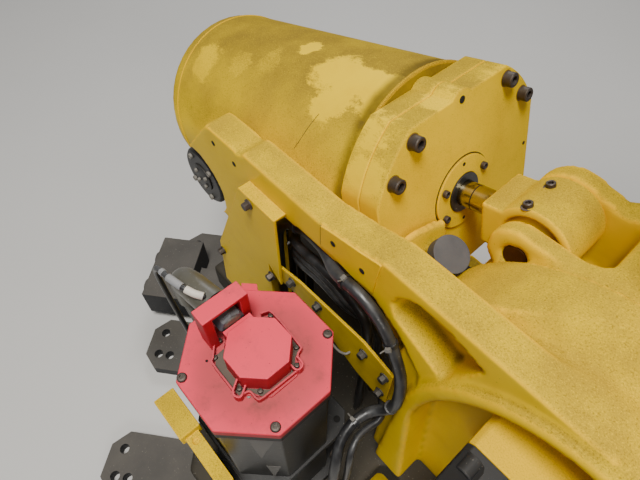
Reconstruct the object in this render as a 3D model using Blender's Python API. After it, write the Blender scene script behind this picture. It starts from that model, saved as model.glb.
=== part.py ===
"""Shoulder of a floor-mounted industrial robot arm: fixed base, slewing turret with its spring
balancer and two axis motors, and the lower arm up to its elbow flange.

Units are metres, +Z is up. The origin is on the floor, on the slewing axis. +X points from the
slewing axis towards the lower arm, +Y to the side away from the motors.
"""

from math import acos, asin, atan2, cos, hypot, pi, radians, sin

import bmesh
import bpy
from mathutils import Matrix, Vector

# General fits
GAP = 0.0003
OVERRUN = 0.02
SINK = 0.004
ROUND_STEPS = 48
SMALL_STEPS = 24

# Places of the axes
SHOULDER_X = 0.312
SHOULDER_Z = 0.670
TRUNNION_X = -0.296
TRUNNION_Z = 0.673
PIN_X = 0.160
PIN_Z = 0.804
ARM_LENGTH = 1.075
BASE_TURN = radians(40)

# Floor plates and base casting, in the base's own frame
PLATE_THICK = 0.030
PLATE_INNER_X = 0.110
PLATE_REACH = 0.620
PLATE_WIDTH = 0.140
PLATE_PITCH = 0.300
EAR_CHAMFER = 0.034
ANCHOR_DIAMETER = 0.022
ANCHOR_EDGE = 0.033
ANCHOR_PITCH = 0.060
FOOT_SIDE = 0.760
FOOT_CHAMFER = 0.150
FOOT_THICK = 0.045
BASE_LOWER_RADIUS = 0.300
BASE_UPPER_RADIUS = 0.245
BASE_HEIGHT = 0.160
BASE_RIB_COUNT = 8
BASE_RIB_THICK = 0.024
CONNECTOR_BOX_SIZE = (0.115, 0.190, 0.095)
CONNECTOR_BOX_REACH = 0.650
CONNECTOR_BOX_SIDE = 0.181
CONNECTOR_BOX_NECK = 0.080
SLEW_RUNNING_GAP = 0.006

# Turret deck
DRUM_RADIUS = 0.262
DRUM_HEIGHT = 0.060
DECK_THICK = 0.070
DECK_REAR_X = 0.370
DECK_FRONT_X = 0.530
DECK_FAR_Y = 0.225
MOTOR_SHELF_MARGIN = 0.058
CASTING_BEVEL = 0.008

# Side walls
WALL_OUTER_Y = 0.209
WALL_THICK = 0.044
CROWN_RISE = 0.187
TRUNNION_BOSS_RADIUS = 0.056
TRUNNION_BOSS_CLEARANCE = 0.008
TRUNNION_DISC_RADIUS = 0.050
TRUNNION_DISC_THICK = 0.012
TRUNNION_DISC_INSET = 0.004
FAR_WALL_SPREAD = 0.060

# Shoulder boss on the near wall
BOSS_RADIUS = 0.208
BOSS_INNER_Y = 0.076
BOSS_NECK_RADIUS = 0.186
BOSS_RIDGE_Y = 0.165
BOSS_RIDGE_RISE = 0.003
BOSS_GROOVE_REAR_Y = 0.160
BOSS_GROOVE_FRONT_Y = 0.142
BOSS_GROOVE_DEPTH = 0.007
BOSS_RIM_REAR_Y = 0.155
BOSS_RIM_FRONT_Y = 0.095
BOSS_RIM_REAR = radians(124)
BOSS_RIM_FRONT = radians(92)

# Arched hood round the shoulder motor
ARCH_CENTRE_SHIFT = 0.026
ARCH_CENTRE_DROP = 0.070
ARCH_HALF_WIDTH = 0.180
ARCH_RISE = 0.249
ARCH_SIDE_WALL = 0.022
ARCH_TOP_WALL = 0.018
ARCH_FACE_Y = 0.220
ARCH_LEG_SPREAD = 0.008
ARCH_LEG_INSET = 0.031

# Pocket between the near wall's top flange and the hood
POCKET_DEPTH = 0.036

# Cross wall and its stop bumper
WEB_CLEARANCE = 0.006
WEB_THICK = 0.010
WEB_END_Y = 0.050
WEB_RISE = 0.010
WEB_DEPTH = 0.160
WEB_SLOPE = 0.024
BUMPER_RADIUS = 0.025
BUMPER_LENGTH = 0.018
BUMPER_X = 0.098
BUMPER_Y = -0.086
BUMPER_Z = 0.766
BUMPER_BOSS_RADIUS = 0.020
BUMPER_BOSS_LENGTH = 0.034

# Spring balancer
TUBE_RADIUS = 0.153
TUBE_REACH = 0.575
TUBE_DOME = 0.050
COVER_THICK = 0.032
FLANGE_THICK = 0.031
COVER_FACE_REACH = 0.352
COVER_SIDE = 0.150
COVER_CORNER_RADIUS = 0.163
LOBE_RADIUS = 0.022
LOBE_RISE = 0.008
COVER_WAIST = 0.138
GLAND_RADIUS = 0.0525
GLAND_HEIGHT = 0.003
SEAL_RADIUS = 0.028
SEAL_HEIGHT = 0.005
ROD_RADIUS = 0.0175
TRUNNION_PIN_RADIUS = 0.030
TRUNNION_PAD_RADIUS = 0.048

# Rod eye and the pin through the arm's fork
EYE_RADIUS = 0.049
EYE_WIDTH = 0.074
EYE_REACH = 0.066
SHANK_HEIGHT = 0.062
EYE_RECESS_RADIUS = 0.037
EYE_RECESS_DEPTH = 0.005
PIN_RADIUS = 0.016
PIN_INSET = 0.002
EYE_CLEARANCE = 0.012

# Lower arm
EAR_OUTER_Y = 0.0665
EAR_THICK = 0.0265
NEAR_EAR_RADIUS = 0.038
FAR_EAR_RADIUS = 0.049
FORK_DIP_X = 0.215
FORK_DIP_Z = 0.842
HUB_RADIUS = 0.196
HUB_FAR_Y = 0.078
FORK_ROOT_X = 0.242
ARM_SIDE_GAP = 0.003
BOOM_REAR = 0.024
BOOM_FRONT = 0.176
BOOM_TOP_REAR = 0.096
BOOM_TOP_FRONT = 0.104
BOOM_HALF_WIDTH = 0.078
BOOM_POCKET_DEPTH = 0.030
BOOM_POCKET_MARGIN = 0.034
ELBOW_RADIUS = 0.140
ELBOW_FACE_RAISE = 0.012
ELBOW_BORE_RADIUS = 0.062
ELBOW_BORE_DEPTH = 0.040
SHOULDER_COVER_RADIUS = 0.112
SHOULDER_COVER_THICK = 0.016

# Axis motors
MOTOR_ACROSS = 0.174
MOTOR_PLATE_THICK = 0.025
MOTOR_BODY_INSET = 0.003
CAP_ACROSS = 0.072
CAP_HEIGHT = 0.031
CAP_NECK_REACH = 0.041
CAP_NECK_WIDTH = 0.038
CAP_FLANGE_ACROSS = 0.088
CAP_FLANGE_THICK = 0.003
CAP_SHIFT_X = 0.006
CAP_SHIFT_Y = 0.001
SLEW_MOTOR_X = 0.028
SLEW_MOTOR_Y = -0.337
SLEW_MOTOR_TOP_Z = 0.725
GUARD_LENGTH = 0.060
GUARD_WIDTH = 0.022
GUARD_HEIGHT = 0.065
GUARD_SHEET = 0.005
GUARD_LEG = 0.012
PLATE_EDGE_ROUND = 0.0015
GUARD_X = -0.0215
GUARD_Y = -0.342
SHOULDER_MOTOR_SIDE = 0.176
SHOULDER_MOTOR_CHAMFER = 0.006
SCREW_NOTCH_RADIUS = 0.014
SCREW_NOTCH_EDGE = 0.017
SCREW_NOTCH_FLOOR = 0.022
MOUNT_BLOCK_FACE_Y = 0.240
SHOULDER_FLANGE_LENGTH = 0.070
SHOULDER_BODY_LENGTH = 0.160
SLEW_FLANGE_SIDE = 0.196
SLEW_FLANGE_CHAMFER = 0.046
SLEW_FLANGE_THICK = 0.018

# Sheet brackets
SHEET = 0.004
TAB_TOP_Z = 0.790
TAB_LEFT_X = -0.144
TAB_RIGHT_X = -0.070
TAB_FOOT_Z = 0.430
TAB_FOOT_X = -0.262
TAB_ELBOW_Z = 0.570
TAB_ELBOW_X = -0.245
TAB_NOTCH = 0.026
TAB_NOTCH_Z = 0.640
STRIP_REAR_X = -0.100
STRIP_LENGTH = 0.243
STRIP_Z = 0.588
STRIP_HEIGHT = 0.110
BLOCK_X = -0.063
BLOCK_LENGTH = 0.066
BLOCK_Y = -0.458
BLOCK_WIDTH = 0.030
BLOCK_TOP_Z = 0.600
BLOCK_THICK = 0.024
BLOCK_ARM_LENGTH = 0.080
BLOCK_ARM_WIDTH = 0.020
BLOCK_ARM_THICK = 0.008
BLOCK_HOLE_DIAMETER = 0.009

# Cables
CABLE_RADIUS = 0.0080
SLIM_CABLE_RADIUS = 0.0055
TAG_CABLE_RADIUS = 0.0040
POWER_CABLE_RADIUS = 0.0145

# Values that follow from the ones above
BASE_TOP_Z = PLATE_THICK + GAP + BASE_HEIGHT
DRUM_BOTTOM_Z = BASE_TOP_Z + SLEW_RUNNING_GAP
DECK_BOTTOM_Z = DRUM_BOTTOM_Z + DRUM_HEIGHT
DECK_TOP_Z = DECK_BOTTOM_Z + DECK_THICK
WALL_INNER_Y = WALL_OUTER_Y - WALL_THICK
BALANCER_TILT = atan2(PIN_Z - TRUNNION_Z, PIN_X - TRUNNION_X)
BALANCER_SPAN = hypot(PIN_Z - TRUNNION_Z, PIN_X - TRUNNION_X)
WALL_SPAN = SHOULDER_X - TRUNNION_X
HOLLOW_FLOOR_Y = WALL_INNER_Y + SINK
STRIP_BACK_Y = ARCH_FACE_Y + GAP
TAB_BACK_Y = STRIP_BACK_Y + SHEET + GAP

# Near wall outline: shares of the trunnion-to-shoulder span along X and of the crown's rise along Z
near_wall_top_shares = (
    (0.092, 0.805),
    (0.191, 0.818),
    (0.215, 0.800),
    (0.235, 0.855),
    (0.475, 0.865),
    (0.560, 0.925),
    (0.640, 1.000),
    (1.040, 1.000),
)
near_wall_low_shares = (
    (0.768, 0.040),
    (0.757, 0.200),
    (0.732, 0.300),
    (0.683, 0.460),
    (0.622, 0.590),
    (0.560, 0.605),
    (0.450, 0.600),
    (0.340, 0.560),
    (0.285, 0.420),
    (0.270, 0.100),
)
rear_leg_front_share = 0.270
rear_leg_back_share = 0.105
rear_leg_crotch_share = -0.200
pocket_shares = (
    (0.680, 0.600),
    (0.669, 0.650),
    (0.667, 0.720),
    (0.674, 0.790),
    (0.688, 0.850),
    (0.710, 0.888),
    (0.740, 0.906),
    (0.770, 0.900),
    (0.850, 0.830),
    (0.800, 0.400),
)

# Strip bracket outline: shares of its length and height
strip_shares = (
    (0.000, 0.764),
    (0.280, 0.927),
    (0.780, 1.000),
    (1.000, 0.873),
    (1.000, 0.040),
    (0.960, 0.000),
    (0.770, 0.073),
    (0.570, 0.291),
    (0.230, 0.527),
    (0.000, 0.473),
)


def principled(name, colour, roughness, metallic=0):
    material = bpy.data.materials.new(name)
    material.use_nodes = True
    shader = material.node_tree.nodes["Principled BSDF"]
    shader.inputs["Base Color"].default_value = (*colour, 1)
    shader.inputs["Roughness"].default_value = roughness
    shader.inputs["Metallic"].default_value = metallic
    material.diffuse_color = (*colour, 1)
    return material


def add_mesh(name, mesh_builder, material=None):
    """An object whose mesh is what the builder leaves in a new bmesh."""
    built = bmesh.new()
    mesh_builder(built)
    bmesh.ops.recalc_face_normals(built, faces=built.faces)
    mesh = bpy.data.meshes.new(name)
    built.to_mesh(mesh)
    built.free()
    thing = bpy.data.objects.new(name, mesh)
    bpy.context.scene.collection.objects.link(thing)
    if material:
        mesh.materials.append(material)
    return thing


def prism(name, outline, start, end, axis="Y", material=None):
    """A flat outline extruded between two planes. Outline pairs are (x, z) along Y, (x, y) along
    Z and (y, z) along X."""

    def place(point, depth):
        first, second = point
        return {
            "X": (depth, first, second),
            "Y": (first, depth, second),
            "Z": (first, second, depth),
        }[axis]

    def build(built):
        near = [built.verts.new(place(point, start)) for point in outline]
        face = built.faces.new(near)
        pushed = bmesh.ops.extrude_face_region(built, geom=[face])
        shift = Vector(place((0, 0), end)) - Vector(place((0, 0), start))
        moved = [item for item in pushed["geom"] if isinstance(item, bmesh.types.BMVert)]
        bmesh.ops.translate(built, verts=moved, vec=shift)

    return add_mesh(name, build, material)


def block(name, low, high, material=None):
    corners = ((low[0], low[1]), (high[0], low[1]), (high[0], high[1]), (low[0], high[1]))
    return prism(name, corners, low[2], high[2], "Z", material)


def turned(name, profile, material=None, steps=ROUND_STEPS):
    """A profile of (radius, height) pairs turned about Z. It starts and ends on the axis, with a
    flat face at each end."""

    def build(built):
        rings = []
        for radius, height in profile:
            turns = [2 * pi * step / steps for step in range(steps)] if radius else [0]
            rings.append([built.verts.new((radius * cos(t), radius * sin(t), height)) for t in turns])
        for lower, upper in zip(rings, rings[1:]):
            if len(lower) == 1 or len(upper) == 1:
                built.faces.new(upper if len(lower) == 1 else lower)
                continue
            for step in range(steps):
                after = (step + 1) % steps
                built.faces.new((lower[step], upper[step], upper[after], lower[after]))
        for loose in [vertex for vertex in built.verts if not vertex.link_faces]:
            built.verts.remove(loose)

    thing = add_mesh(name, build, material)
    thing.data.shade_smooth()
    thing.data.set_sharp_from_angle(angle=radians(30))
    return thing


def cylinder(name, radius, start, end, material=None, steps=ROUND_STEPS):
    """A plain cylinder between two points."""
    start = Vector(start)
    end = Vector(end)
    length = (end - start).length
    thing = turned(name, ((0, 0), (radius, 0), (radius, length), (0, length)), material, steps)
    lay(thing, start, end - start)
    return thing


def lay(thing, place, direction):
    """Puts the object's own origin at a place with its Z axis along a direction."""
    turn = Vector((0, 0, 1)).rotation_difference(Vector(direction))
    thing.matrix_world = Matrix.Translation(Vector(place)) @ turn.to_matrix().to_4x4()


def tube(name, points, radius, material, smooth_steps=4, resolution=3):
    """A cable along a smooth curve through the chosen points."""
    route = smooth_route([Vector(point) for point in points], smooth_steps)
    curve = bpy.data.curves.new(name, "CURVE")
    curve.dimensions = "3D"
    curve.bevel_depth = radius
    curve.bevel_resolution = resolution
    curve.use_fill_caps = True
    spline = curve.splines.new("POLY")
    spline.points.add(len(route) - 1)
    for point, place in zip(spline.points, route):
        point.co = (*place, 1)
    curve.materials.append(material)
    thing = bpy.data.objects.new(name, curve)
    bpy.context.scene.collection.objects.link(thing)
    return thing


def smooth_route(points, steps):
    """Catmull-Rom points through the given ones."""
    padded = [2 * points[0] - points[1], *points, 2 * points[-1] - points[-2]]
    route = []
    for before, start, end, after in zip(padded, padded[1:], padded[2:], padded[3:]):
        for step in range(steps):
            t = step / steps
            route.append(
                (
                    2 * start
                    + (end - before) * t
                    + (2 * before - 5 * start + 4 * end - after) * t**2
                    + (3 * start - before - 3 * end + after) * t**3
                )
                / 2
            )
    route.append(points[-1])
    return route


def boolean(thing, other, operation):
    """Joins or cuts with a helper, which stays in the scene as a wire guide."""
    other.hide_render = True
    other.display_type = "WIRE"
    step = thing.modifiers.new(f"{operation.lower()} {other.name}", "BOOLEAN")
    step.operation = operation
    step.object = other
    step.solver = "EXACT"


def cut(thing, *cutters):
    for cutter in cutters:
        boolean(thing, cutter, "DIFFERENCE")


def join(thing, *helpers):
    for helper in helpers:
        boolean(thing, helper, "UNION")


def bevel(thing, width, segments=2, angle=radians(30)):
    step = thing.modifiers.new("edge rounding", "BEVEL")
    step.width = width
    step.segments = segments
    step.limit_method = "ANGLE"
    step.angle_limit = angle
    step.harden_normals = False


def arc(centre, radius, start, end, steps, rise=None):
    """Points on an arc, or on an ellipse where a rise differs from the radius."""
    rise = radius if rise is None else rise
    turns = [start + (end - start) * step / steps for step in range(steps + 1)]
    return [(centre[0] + radius * cos(turn), centre[1] + rise * sin(turn)) for turn in turns]


def octagon(across, centre=(0, 0)):
    """Corners of a regular octagon with two sides square to each axis."""
    reach = across / 2 / cos(pi / 8)
    turns = [pi / 8 + pi / 4 * step for step in range(8)]
    return [(centre[0] + reach * cos(turn), centre[1] + reach * sin(turn)) for turn in turns]


def chamfered_square(side, chamfer, centre=(0, 0)):
    half = side / 2
    short = half - chamfer
    corners = (
        (half, short), (short, half), (-short, half), (-half, short),
        (-half, -short), (-short, -half), (short, -half), (half, -short),
    )
    return [(centre[0] + x, centre[1] + y) for x, y in corners]


def wall_point(share):
    along, rise = share
    return TRUNNION_X + along * WALL_SPAN, SHOULDER_Z + rise * CROWN_RISE


def balancer_place(thing, reach=0):
    """Lays a turned or extruded piece along the balancer's axis, from the trunnion axis on."""
    along = Vector((cos(BALANCER_TILT), 0, sin(BALANCER_TILT)))
    turn = Matrix.Rotation(pi / 2 - BALANCER_TILT, 4, "Y")
    thing.matrix_world = Matrix.Translation(Vector((TRUNNION_X, 0, TRUNNION_Z)) + along * reach) @ turn


def materials():
    return {
        "yellow": principled("yellow paint", (0.78, 0.50, 0.02), 0.45),
        "dark": principled("dark cast iron", (0.05, 0.05, 0.055), 0.7, 0.3),
        "black": principled("black motor paint", (0.015, 0.015, 0.018), 0.4),
        "red": principled("red cap plastic", (0.72, 0.05, 0.09), 0.45),
        "chrome": principled("chromed rod", (0.75, 0.72, 0.66), 0.15, 1),
        "bronze": principled("pin steel", (0.22, 0.13, 0.08), 0.5, 0.6),
        "rubber": principled("black rubber", (0.03, 0.03, 0.032), 0.55),
        "grey": principled("grey buffer", (0.18, 0.19, 0.22), 0.65),
        "steel": principled("dark steel", (0.12, 0.11, 0.10), 0.5, 0.7),
    }


def anchor_plate(name, side, middle, material):
    """Floor plate under the base, ending in an ear with three holes for floor anchors."""
    tip = PLATE_REACH
    half = PLATE_WIDTH / 2
    thing = prism(
        name,
        [
            (side * PLATE_INNER_X, middle - half),
            (side * (tip - EAR_CHAMFER), middle - half),
            (side * tip, middle - half + EAR_CHAMFER),
            (side * tip, middle + half - EAR_CHAMFER),
            (side * (tip - EAR_CHAMFER), middle + half),
            (side * PLATE_INNER_X, middle + half),
        ],
        0,
        PLATE_THICK,
        "Z",
        material,
    )
    edge = tip - ANCHOR_EDGE
    spread = ANCHOR_PITCH / 2
    holes = (
        (edge, middle - spread),
        (edge, middle + spread),
        (edge - spread, middle + side * spread),
    )
    for number, (x, y) in enumerate(holes):
        drill = cylinder(
            f"{name} drill {number + 1}",
            ANCHOR_DIAMETER / 2,
            (side * x, y, -OVERRUN),
            (side * x, y, PLATE_THICK + OVERRUN),
            steps=SMALL_STEPS,
        )
        cut(thing, drill)
        drill.parent = thing
    thing.rotation_euler.z = BASE_TURN
    return thing


def base_casting(material):
    bottom = PLATE_THICK + GAP
    thing = prism(
        "base_casting",
        chamfered_square(FOOT_SIDE, FOOT_CHAMFER),
        bottom,
        bottom + FOOT_THICK,
        "Z",
        material,
    )
    neck = bottom + FOOT_THICK - SINK
    drum = turned(
        "base drum",
        (
            (0, neck),
            (BASE_LOWER_RADIUS, neck),
            (BASE_UPPER_RADIUS, neck + (BASE_TOP_Z - neck) / 2),
            (BASE_UPPER_RADIUS, BASE_TOP_Z),
            (0, BASE_TOP_Z),
        ),
    )
    join(thing, drum)
    drum.parent = thing
    for number in range(BASE_RIB_COUNT):
        reach = FOOT_SIDE / 2 - OVERRUN
        rib = prism(
            f"base rib {number + 1}",
            (
                (BASE_UPPER_RADIUS / 2, neck),
                (reach, neck),
                (reach, neck + OVERRUN),
                (BASE_UPPER_RADIUS + SINK, BASE_TOP_Z - OVERRUN),
                (BASE_UPPER_RADIUS / 2, BASE_TOP_Z - OVERRUN),
            ),
            -BASE_RIB_THICK / 2,
            BASE_RIB_THICK / 2,
            "Y",
        )
        rib.rotation_euler.z = 2 * pi * (number + 1 / 2) / BASE_RIB_COUNT
        join(thing, rib)
        rib.parent = thing
    thing.rotation_euler.z = BASE_TURN
    return thing


def centre_plate(material):
    """Floor plate between the two rows of anchor plates."""
    half_x = PLATE_INNER_X - OVERRUN
    half_y = FOOT_SIDE / 2
    thing = block("base_centre_plate", (-half_x, -half_y, 0), (half_x, half_y, PLATE_THICK), material)
    thing.rotation_euler.z = BASE_TURN
    return thing


def connector_box(material):
    """Cable entry box on the rear of the base, beside the middle ear."""
    depth, width, height = CONNECTOR_BOX_SIZE
    bottom = PLATE_THICK + GAP
    outer = CONNECTOR_BOX_REACH
    thing = block(
        "base_connector_box",
        (-outer, CONNECTOR_BOX_SIDE - width / 2, bottom),
        (-outer + depth, CONNECTOR_BOX_SIDE + width / 2, bottom + height),
        material,
    )
    neck = block(
        "connector box neck",
        (-outer + depth - SINK, CONNECTOR_BOX_SIDE - CONNECTOR_BOX_NECK / 2, bottom),
        (
            -FOOT_SIDE / 2 - GAP,
            CONNECTOR_BOX_SIDE + CONNECTOR_BOX_NECK / 2,
            bottom + FOOT_THICK,
        ),
    )
    join(thing, neck)
    neck.parent = thing
    bevel(thing, CASTING_BEVEL)
    thing.rotation_euler.z = BASE_TURN
    return thing


def turret_deck(material):
    """Slewing drum and the deck that carries the walls and the slewing motor."""
    shelf = MOTOR_ACROSS / 2 + MOTOR_SHELF_MARGIN
    outline = [
        (-DECK_REAR_X, -WALL_OUTER_Y),
        (SLEW_MOTOR_X - shelf, -WALL_OUTER_Y),
        (SLEW_MOTOR_X - shelf, SLEW_MOTOR_Y - shelf / 2),
        (SLEW_MOTOR_X - shelf / 2, SLEW_MOTOR_Y - shelf),
        (SLEW_MOTOR_X + shelf / 2, SLEW_MOTOR_Y - shelf),
        (SLEW_MOTOR_X + shelf, SLEW_MOTOR_Y - shelf / 2),
        (SLEW_MOTOR_X + shelf, -ARCH_FACE_Y),
        (DECK_FRONT_X, -ARCH_FACE_Y),
        (DECK_FRONT_X, 0),
        (DECK_FRONT_X / 2, DECK_FAR_Y),
        (-DECK_REAR_X, DECK_FAR_Y),
    ]
    thing = prism("turret_deck", outline, DECK_BOTTOM_Z, DECK_TOP_Z, "Z", material)
    drum = turned(
        "turret drum",
        (
            (0, DRUM_BOTTOM_Z),
            (DRUM_RADIUS, DRUM_BOTTOM_Z),
            (DRUM_RADIUS, DECK_BOTTOM_Z + SINK),
            (0, DECK_BOTTOM_Z + SINK),
        ),
    )
    join(thing, drum)
    drum.parent = thing
    bevel(thing, CASTING_BEVEL)
    return thing


def slew_bearing(material):
    """Bearing race that closes the running gap between base and turret."""
    return turned(
        "slew_bearing",
        (
            (0, BASE_TOP_Z + GAP),
            (BASE_UPPER_RADIUS - SINK, BASE_TOP_Z + GAP),
            (BASE_UPPER_RADIUS - SINK, DRUM_BOTTOM_Z - GAP),
            (0, DRUM_BOTTOM_Z - GAP),
        ),
        material,
    )


def arch_outline(wall_side, wall_top, leg_spread, sink=0):
    """Hood outline in X and Z: an elliptic crown on legs that spread towards the deck."""
    centre = (SHOULDER_X + ARCH_CENTRE_SHIFT, SHOULDER_Z - ARCH_CENTRE_DROP)
    half = ARCH_HALF_WIDTH - wall_side
    crown = arc(centre, half, 0, pi, 24, ARCH_RISE - wall_top)
    foot_z = DECK_TOP_Z + GAP - sink
    left = (centre[0] - half - leg_spread, foot_z)
    right = (centre[0] + half + leg_spread, foot_z)
    return [right, *crown, left]


def near_wall(material):
    """Wall from the near trunnion to the shoulder boss, with its motor hood."""
    deck = DECK_TOP_Z + GAP
    nose = arc(
        (TRUNNION_X, TRUNNION_Z), TRUNNION_BOSS_RADIUS - SINK, radians(300), radians(130), 12
    )
    top = [wall_point(share) for share in near_wall_top_shares]
    low = [wall_point(share) for share in near_wall_low_shares]
    leg_front = wall_point((rear_leg_front_share, 0))[0]
    leg_back, crotch = wall_point((rear_leg_back_share, rear_leg_crotch_share))
    leg = ((leg_front, deck), (leg_back, deck), (leg_back, crotch))
    shoulder = (SHOULDER_X + BOSS_NECK_RADIUS / 2, SHOULDER_Z)
    outline = [*nose, *top, shoulder, *low, *leg]
    thing = prism("near_wall", outline, -WALL_OUTER_Y, -WALL_INNER_Y, "Y", material)

    disc_back = WALL_OUTER_Y - TRUNNION_DISC_INSET - TRUNNION_DISC_THICK
    recess = wall_drill(
        "near trunnion recess",
        TRUNNION_BOSS_RADIUS + TRUNNION_BOSS_CLEARANCE,
        -WALL_OUTER_Y - OVERRUN,
        -disc_back + GAP,
    )
    nose_boss = wall_drill(
        "near trunnion boss",
        TRUNNION_BOSS_RADIUS,
        -disc_back + GAP,
        -WALL_INNER_Y + TRUNNION_BOSS_CLEARANCE,
    )
    pin_bore = wall_drill(
        "near trunnion bore",
        TRUNNION_PIN_RADIUS + GAP,
        -WALL_OUTER_Y - OVERRUN,
        -WALL_INNER_Y + OVERRUN,
    )
    boss = shoulder_boss()
    hood = prism(
        "motor hood",
        arch_outline(0, 0, ARCH_LEG_SPREAD),
        -ARCH_FACE_Y,
        -WALL_INNER_Y - SINK,
    )
    root = block(
        "shoulder root",
        (SHOULDER_X - BOSS_NECK_RADIUS + SINK, -WALL_OUTER_Y + SINK, deck),
        (SHOULDER_X + BOSS_NECK_RADIUS - SINK, -BOSS_INNER_Y - SINK, SHOULDER_Z),
    )
    hollow = prism(
        "motor hood hollow",
        arch_outline(ARCH_SIDE_WALL, ARCH_TOP_WALL, -ARCH_LEG_INSET, OVERRUN),
        -ARCH_FACE_Y - OVERRUN,
        -HOLLOW_FLOOR_Y,
    )
    pocket = prism(
        "near wall pocket",
        [wall_point(share) for share in pocket_shares],
        -WALL_OUTER_Y - OVERRUN,
        -WALL_OUTER_Y + POCKET_DEPTH,
    )
    cut(thing, recess)
    join(thing, nose_boss, boss, root)
    cut(thing, pocket)
    web, web_foot, bumper_boss, web_top = bumper_web()
    join(thing, hood, web, web_foot, bumper_boss)
    cut(thing, hollow, pin_bore)
    helpers = (recess, nose_boss, pin_bore, boss, hood, root, hollow, pocket)
    for helper in (*helpers, web, web_foot, bumper_boss, web_top):
        hold(helper, thing)
    return thing


def shoulder_boss():
    """Round boss on the shoulder axis. A ridge and a shallow groove part its crown from its rim,
    and the rim is widest in front, above the hood."""

    def build(built):
        rings = []
        for step in range(ROUND_STEPS):
            turn = 2 * pi * step / ROUND_STEPS
            lean = abs(atan2(sin(turn - BOSS_RIM_FRONT / 2), cos(turn - BOSS_RIM_FRONT / 2)))
            reach = (lean - BOSS_RIM_FRONT / 2) / (BOSS_RIM_REAR - BOSS_RIM_FRONT)
            share = min(1, max(0, reach))
            groove_y = BOSS_GROOVE_FRONT_Y + (BOSS_GROOVE_REAR_Y - BOSS_GROOVE_FRONT_Y) * share
            rim_y = BOSS_RIM_FRONT_Y + (BOSS_RIM_REAR_Y - BOSS_RIM_FRONT_Y) * share
            ridge = BOSS_NECK_RADIUS + BOSS_RIDGE_RISE
            profile = (
                (BOSS_NECK_RADIUS, WALL_OUTER_Y - SINK),
                (ridge, BOSS_RIDGE_Y),
                (ridge - BOSS_GROOVE_DEPTH * (1 - share), groove_y),
                (BOSS_RADIUS, rim_y),
                (BOSS_RADIUS, BOSS_INNER_Y),
            )
            rings.append(
                [
                    built.verts.new(
                        (SHOULDER_X + radius * cos(turn), -depth, SHOULDER_Z + radius * sin(turn))
                    )
                    for radius, depth in profile
                ]
            )
        for here, after in zip(rings, [*rings[1:], rings[0]]):
            for level in range(len(here) - 1):
                built.faces.new((here[level], here[level + 1], after[level + 1], after[level]))
        built.faces.new([ring[0] for ring in rings])
        built.faces.new([ring[-1] for ring in rings])

    return add_mesh("shoulder boss", build)


def wall_drill(name, radius, start_y, end_y):
    """A cylinder on the trunnion axis, between two planes across it."""
    return cylinder(
        name, radius, (TRUNNION_X, start_y, TRUNNION_Z), (TRUNNION_X, end_y, TRUNNION_Z)
    )


def far_wall(material):
    """The shorter wall under the far trunnion."""
    deck = DECK_TOP_Z + GAP
    nose = arc((TRUNNION_X, TRUNNION_Z), TRUNNION_BOSS_RADIUS, 0, pi, 16)
    outline = [
        *nose,
        (TRUNNION_X - TRUNNION_BOSS_RADIUS, deck),
        (TRUNNION_X + TRUNNION_BOSS_RADIUS + FAR_WALL_SPREAD, deck),
    ]
    thing = prism("far_wall", outline, WALL_INNER_Y, WALL_OUTER_Y, "Y", material)
    bore = wall_drill(
        "far trunnion bore",
        TRUNNION_PIN_RADIUS + GAP,
        WALL_INNER_Y - OVERRUN,
        WALL_OUTER_Y + OVERRUN,
    )
    cut(thing, bore)
    hold(bore, thing)
    bevel(thing, CASTING_BEVEL, angle=radians(50))
    return thing


def trunnion_cover(name, side, material):
    inner = WALL_OUTER_Y + GAP
    if side < 0:
        inner = WALL_OUTER_Y - TRUNNION_DISC_INSET - TRUNNION_DISC_THICK + GAP
    thing = turned(
        name,
        (
            (0, 0),
            (TRUNNION_DISC_RADIUS, 0),
            (TRUNNION_DISC_RADIUS, TRUNNION_DISC_THICK * 2 / 3),
            (TRUNNION_DISC_RADIUS - TRUNNION_DISC_THICK / 3, TRUNNION_DISC_THICK),
            (0, TRUNNION_DISC_THICK),
        ),
        material,
    )
    lay(thing, (TRUNNION_X, side * inner, TRUNNION_Z), (0, side, 0))
    return thing


def bumper_web():
    """Web in front of the balancer's cover, parallel to it, with the boss under the bumper."""
    low_reach = COVER_FACE_REACH + WEB_CLEARANCE
    high_reach = low_reach + WEB_THICK
    slope = tan_of(BALANCER_TILT)
    back_x = TRUNNION_X + low_reach * cos(BALANCER_TILT)
    back_z = TRUNNION_Z + low_reach * sin(BALANCER_TILT)
    front_x = TRUNNION_X + high_reach * cos(BALANCER_TILT)
    front_z = TRUNNION_Z + high_reach * sin(BALANCER_TILT)
    top_z = back_z + WEB_RISE
    foot_z = back_z - WEB_DEPTH
    outline = (
        (back_x - (top_z - back_z) * slope, top_z),
        (front_x - (top_z - front_z) * slope, top_z),
        (front_x - (foot_z - front_z) * slope, foot_z),
        (back_x - (foot_z - back_z) * slope, foot_z),
    )
    web = prism("bumper web", outline, -WALL_INNER_Y - SINK, -WEB_END_Y, "Y")
    top_cut = prism(
        "bumper web top slope",
        (
            (-WALL_INNER_Y - OVERRUN, top_z + WEB_SLOPE),
            (-WEB_END_Y + OVERRUN, top_z - WEB_SLOPE),
            (-WEB_END_Y + OVERRUN, top_z + WALL_THICK),
            (-WALL_INNER_Y - OVERRUN, top_z + WALL_THICK),
        ),
        back_x - WALL_THICK,
        front_x + WALL_THICK,
        "X",
    )
    away = bumper_direction()
    seat = Vector((BUMPER_X, BUMPER_Y, BUMPER_Z)) - away * (BUMPER_LENGTH + GAP)
    boss = cylinder("bumper boss", BUMPER_BOSS_RADIUS, seat - away * BUMPER_BOSS_LENGTH, seat)
    foot = block(
        "bumper web foot",
        (back_x - (foot_z - back_z) * slope, -WALL_INNER_Y - SINK, foot_z - 2 * WEB_THICK),
        (SHOULDER_X - BOSS_NECK_RADIUS + OVERRUN, -BOSS_INNER_Y - SINK, foot_z + WEB_THICK / 2),
    )
    cut(web, top_cut)
    return web, foot, boss, top_cut


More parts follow.
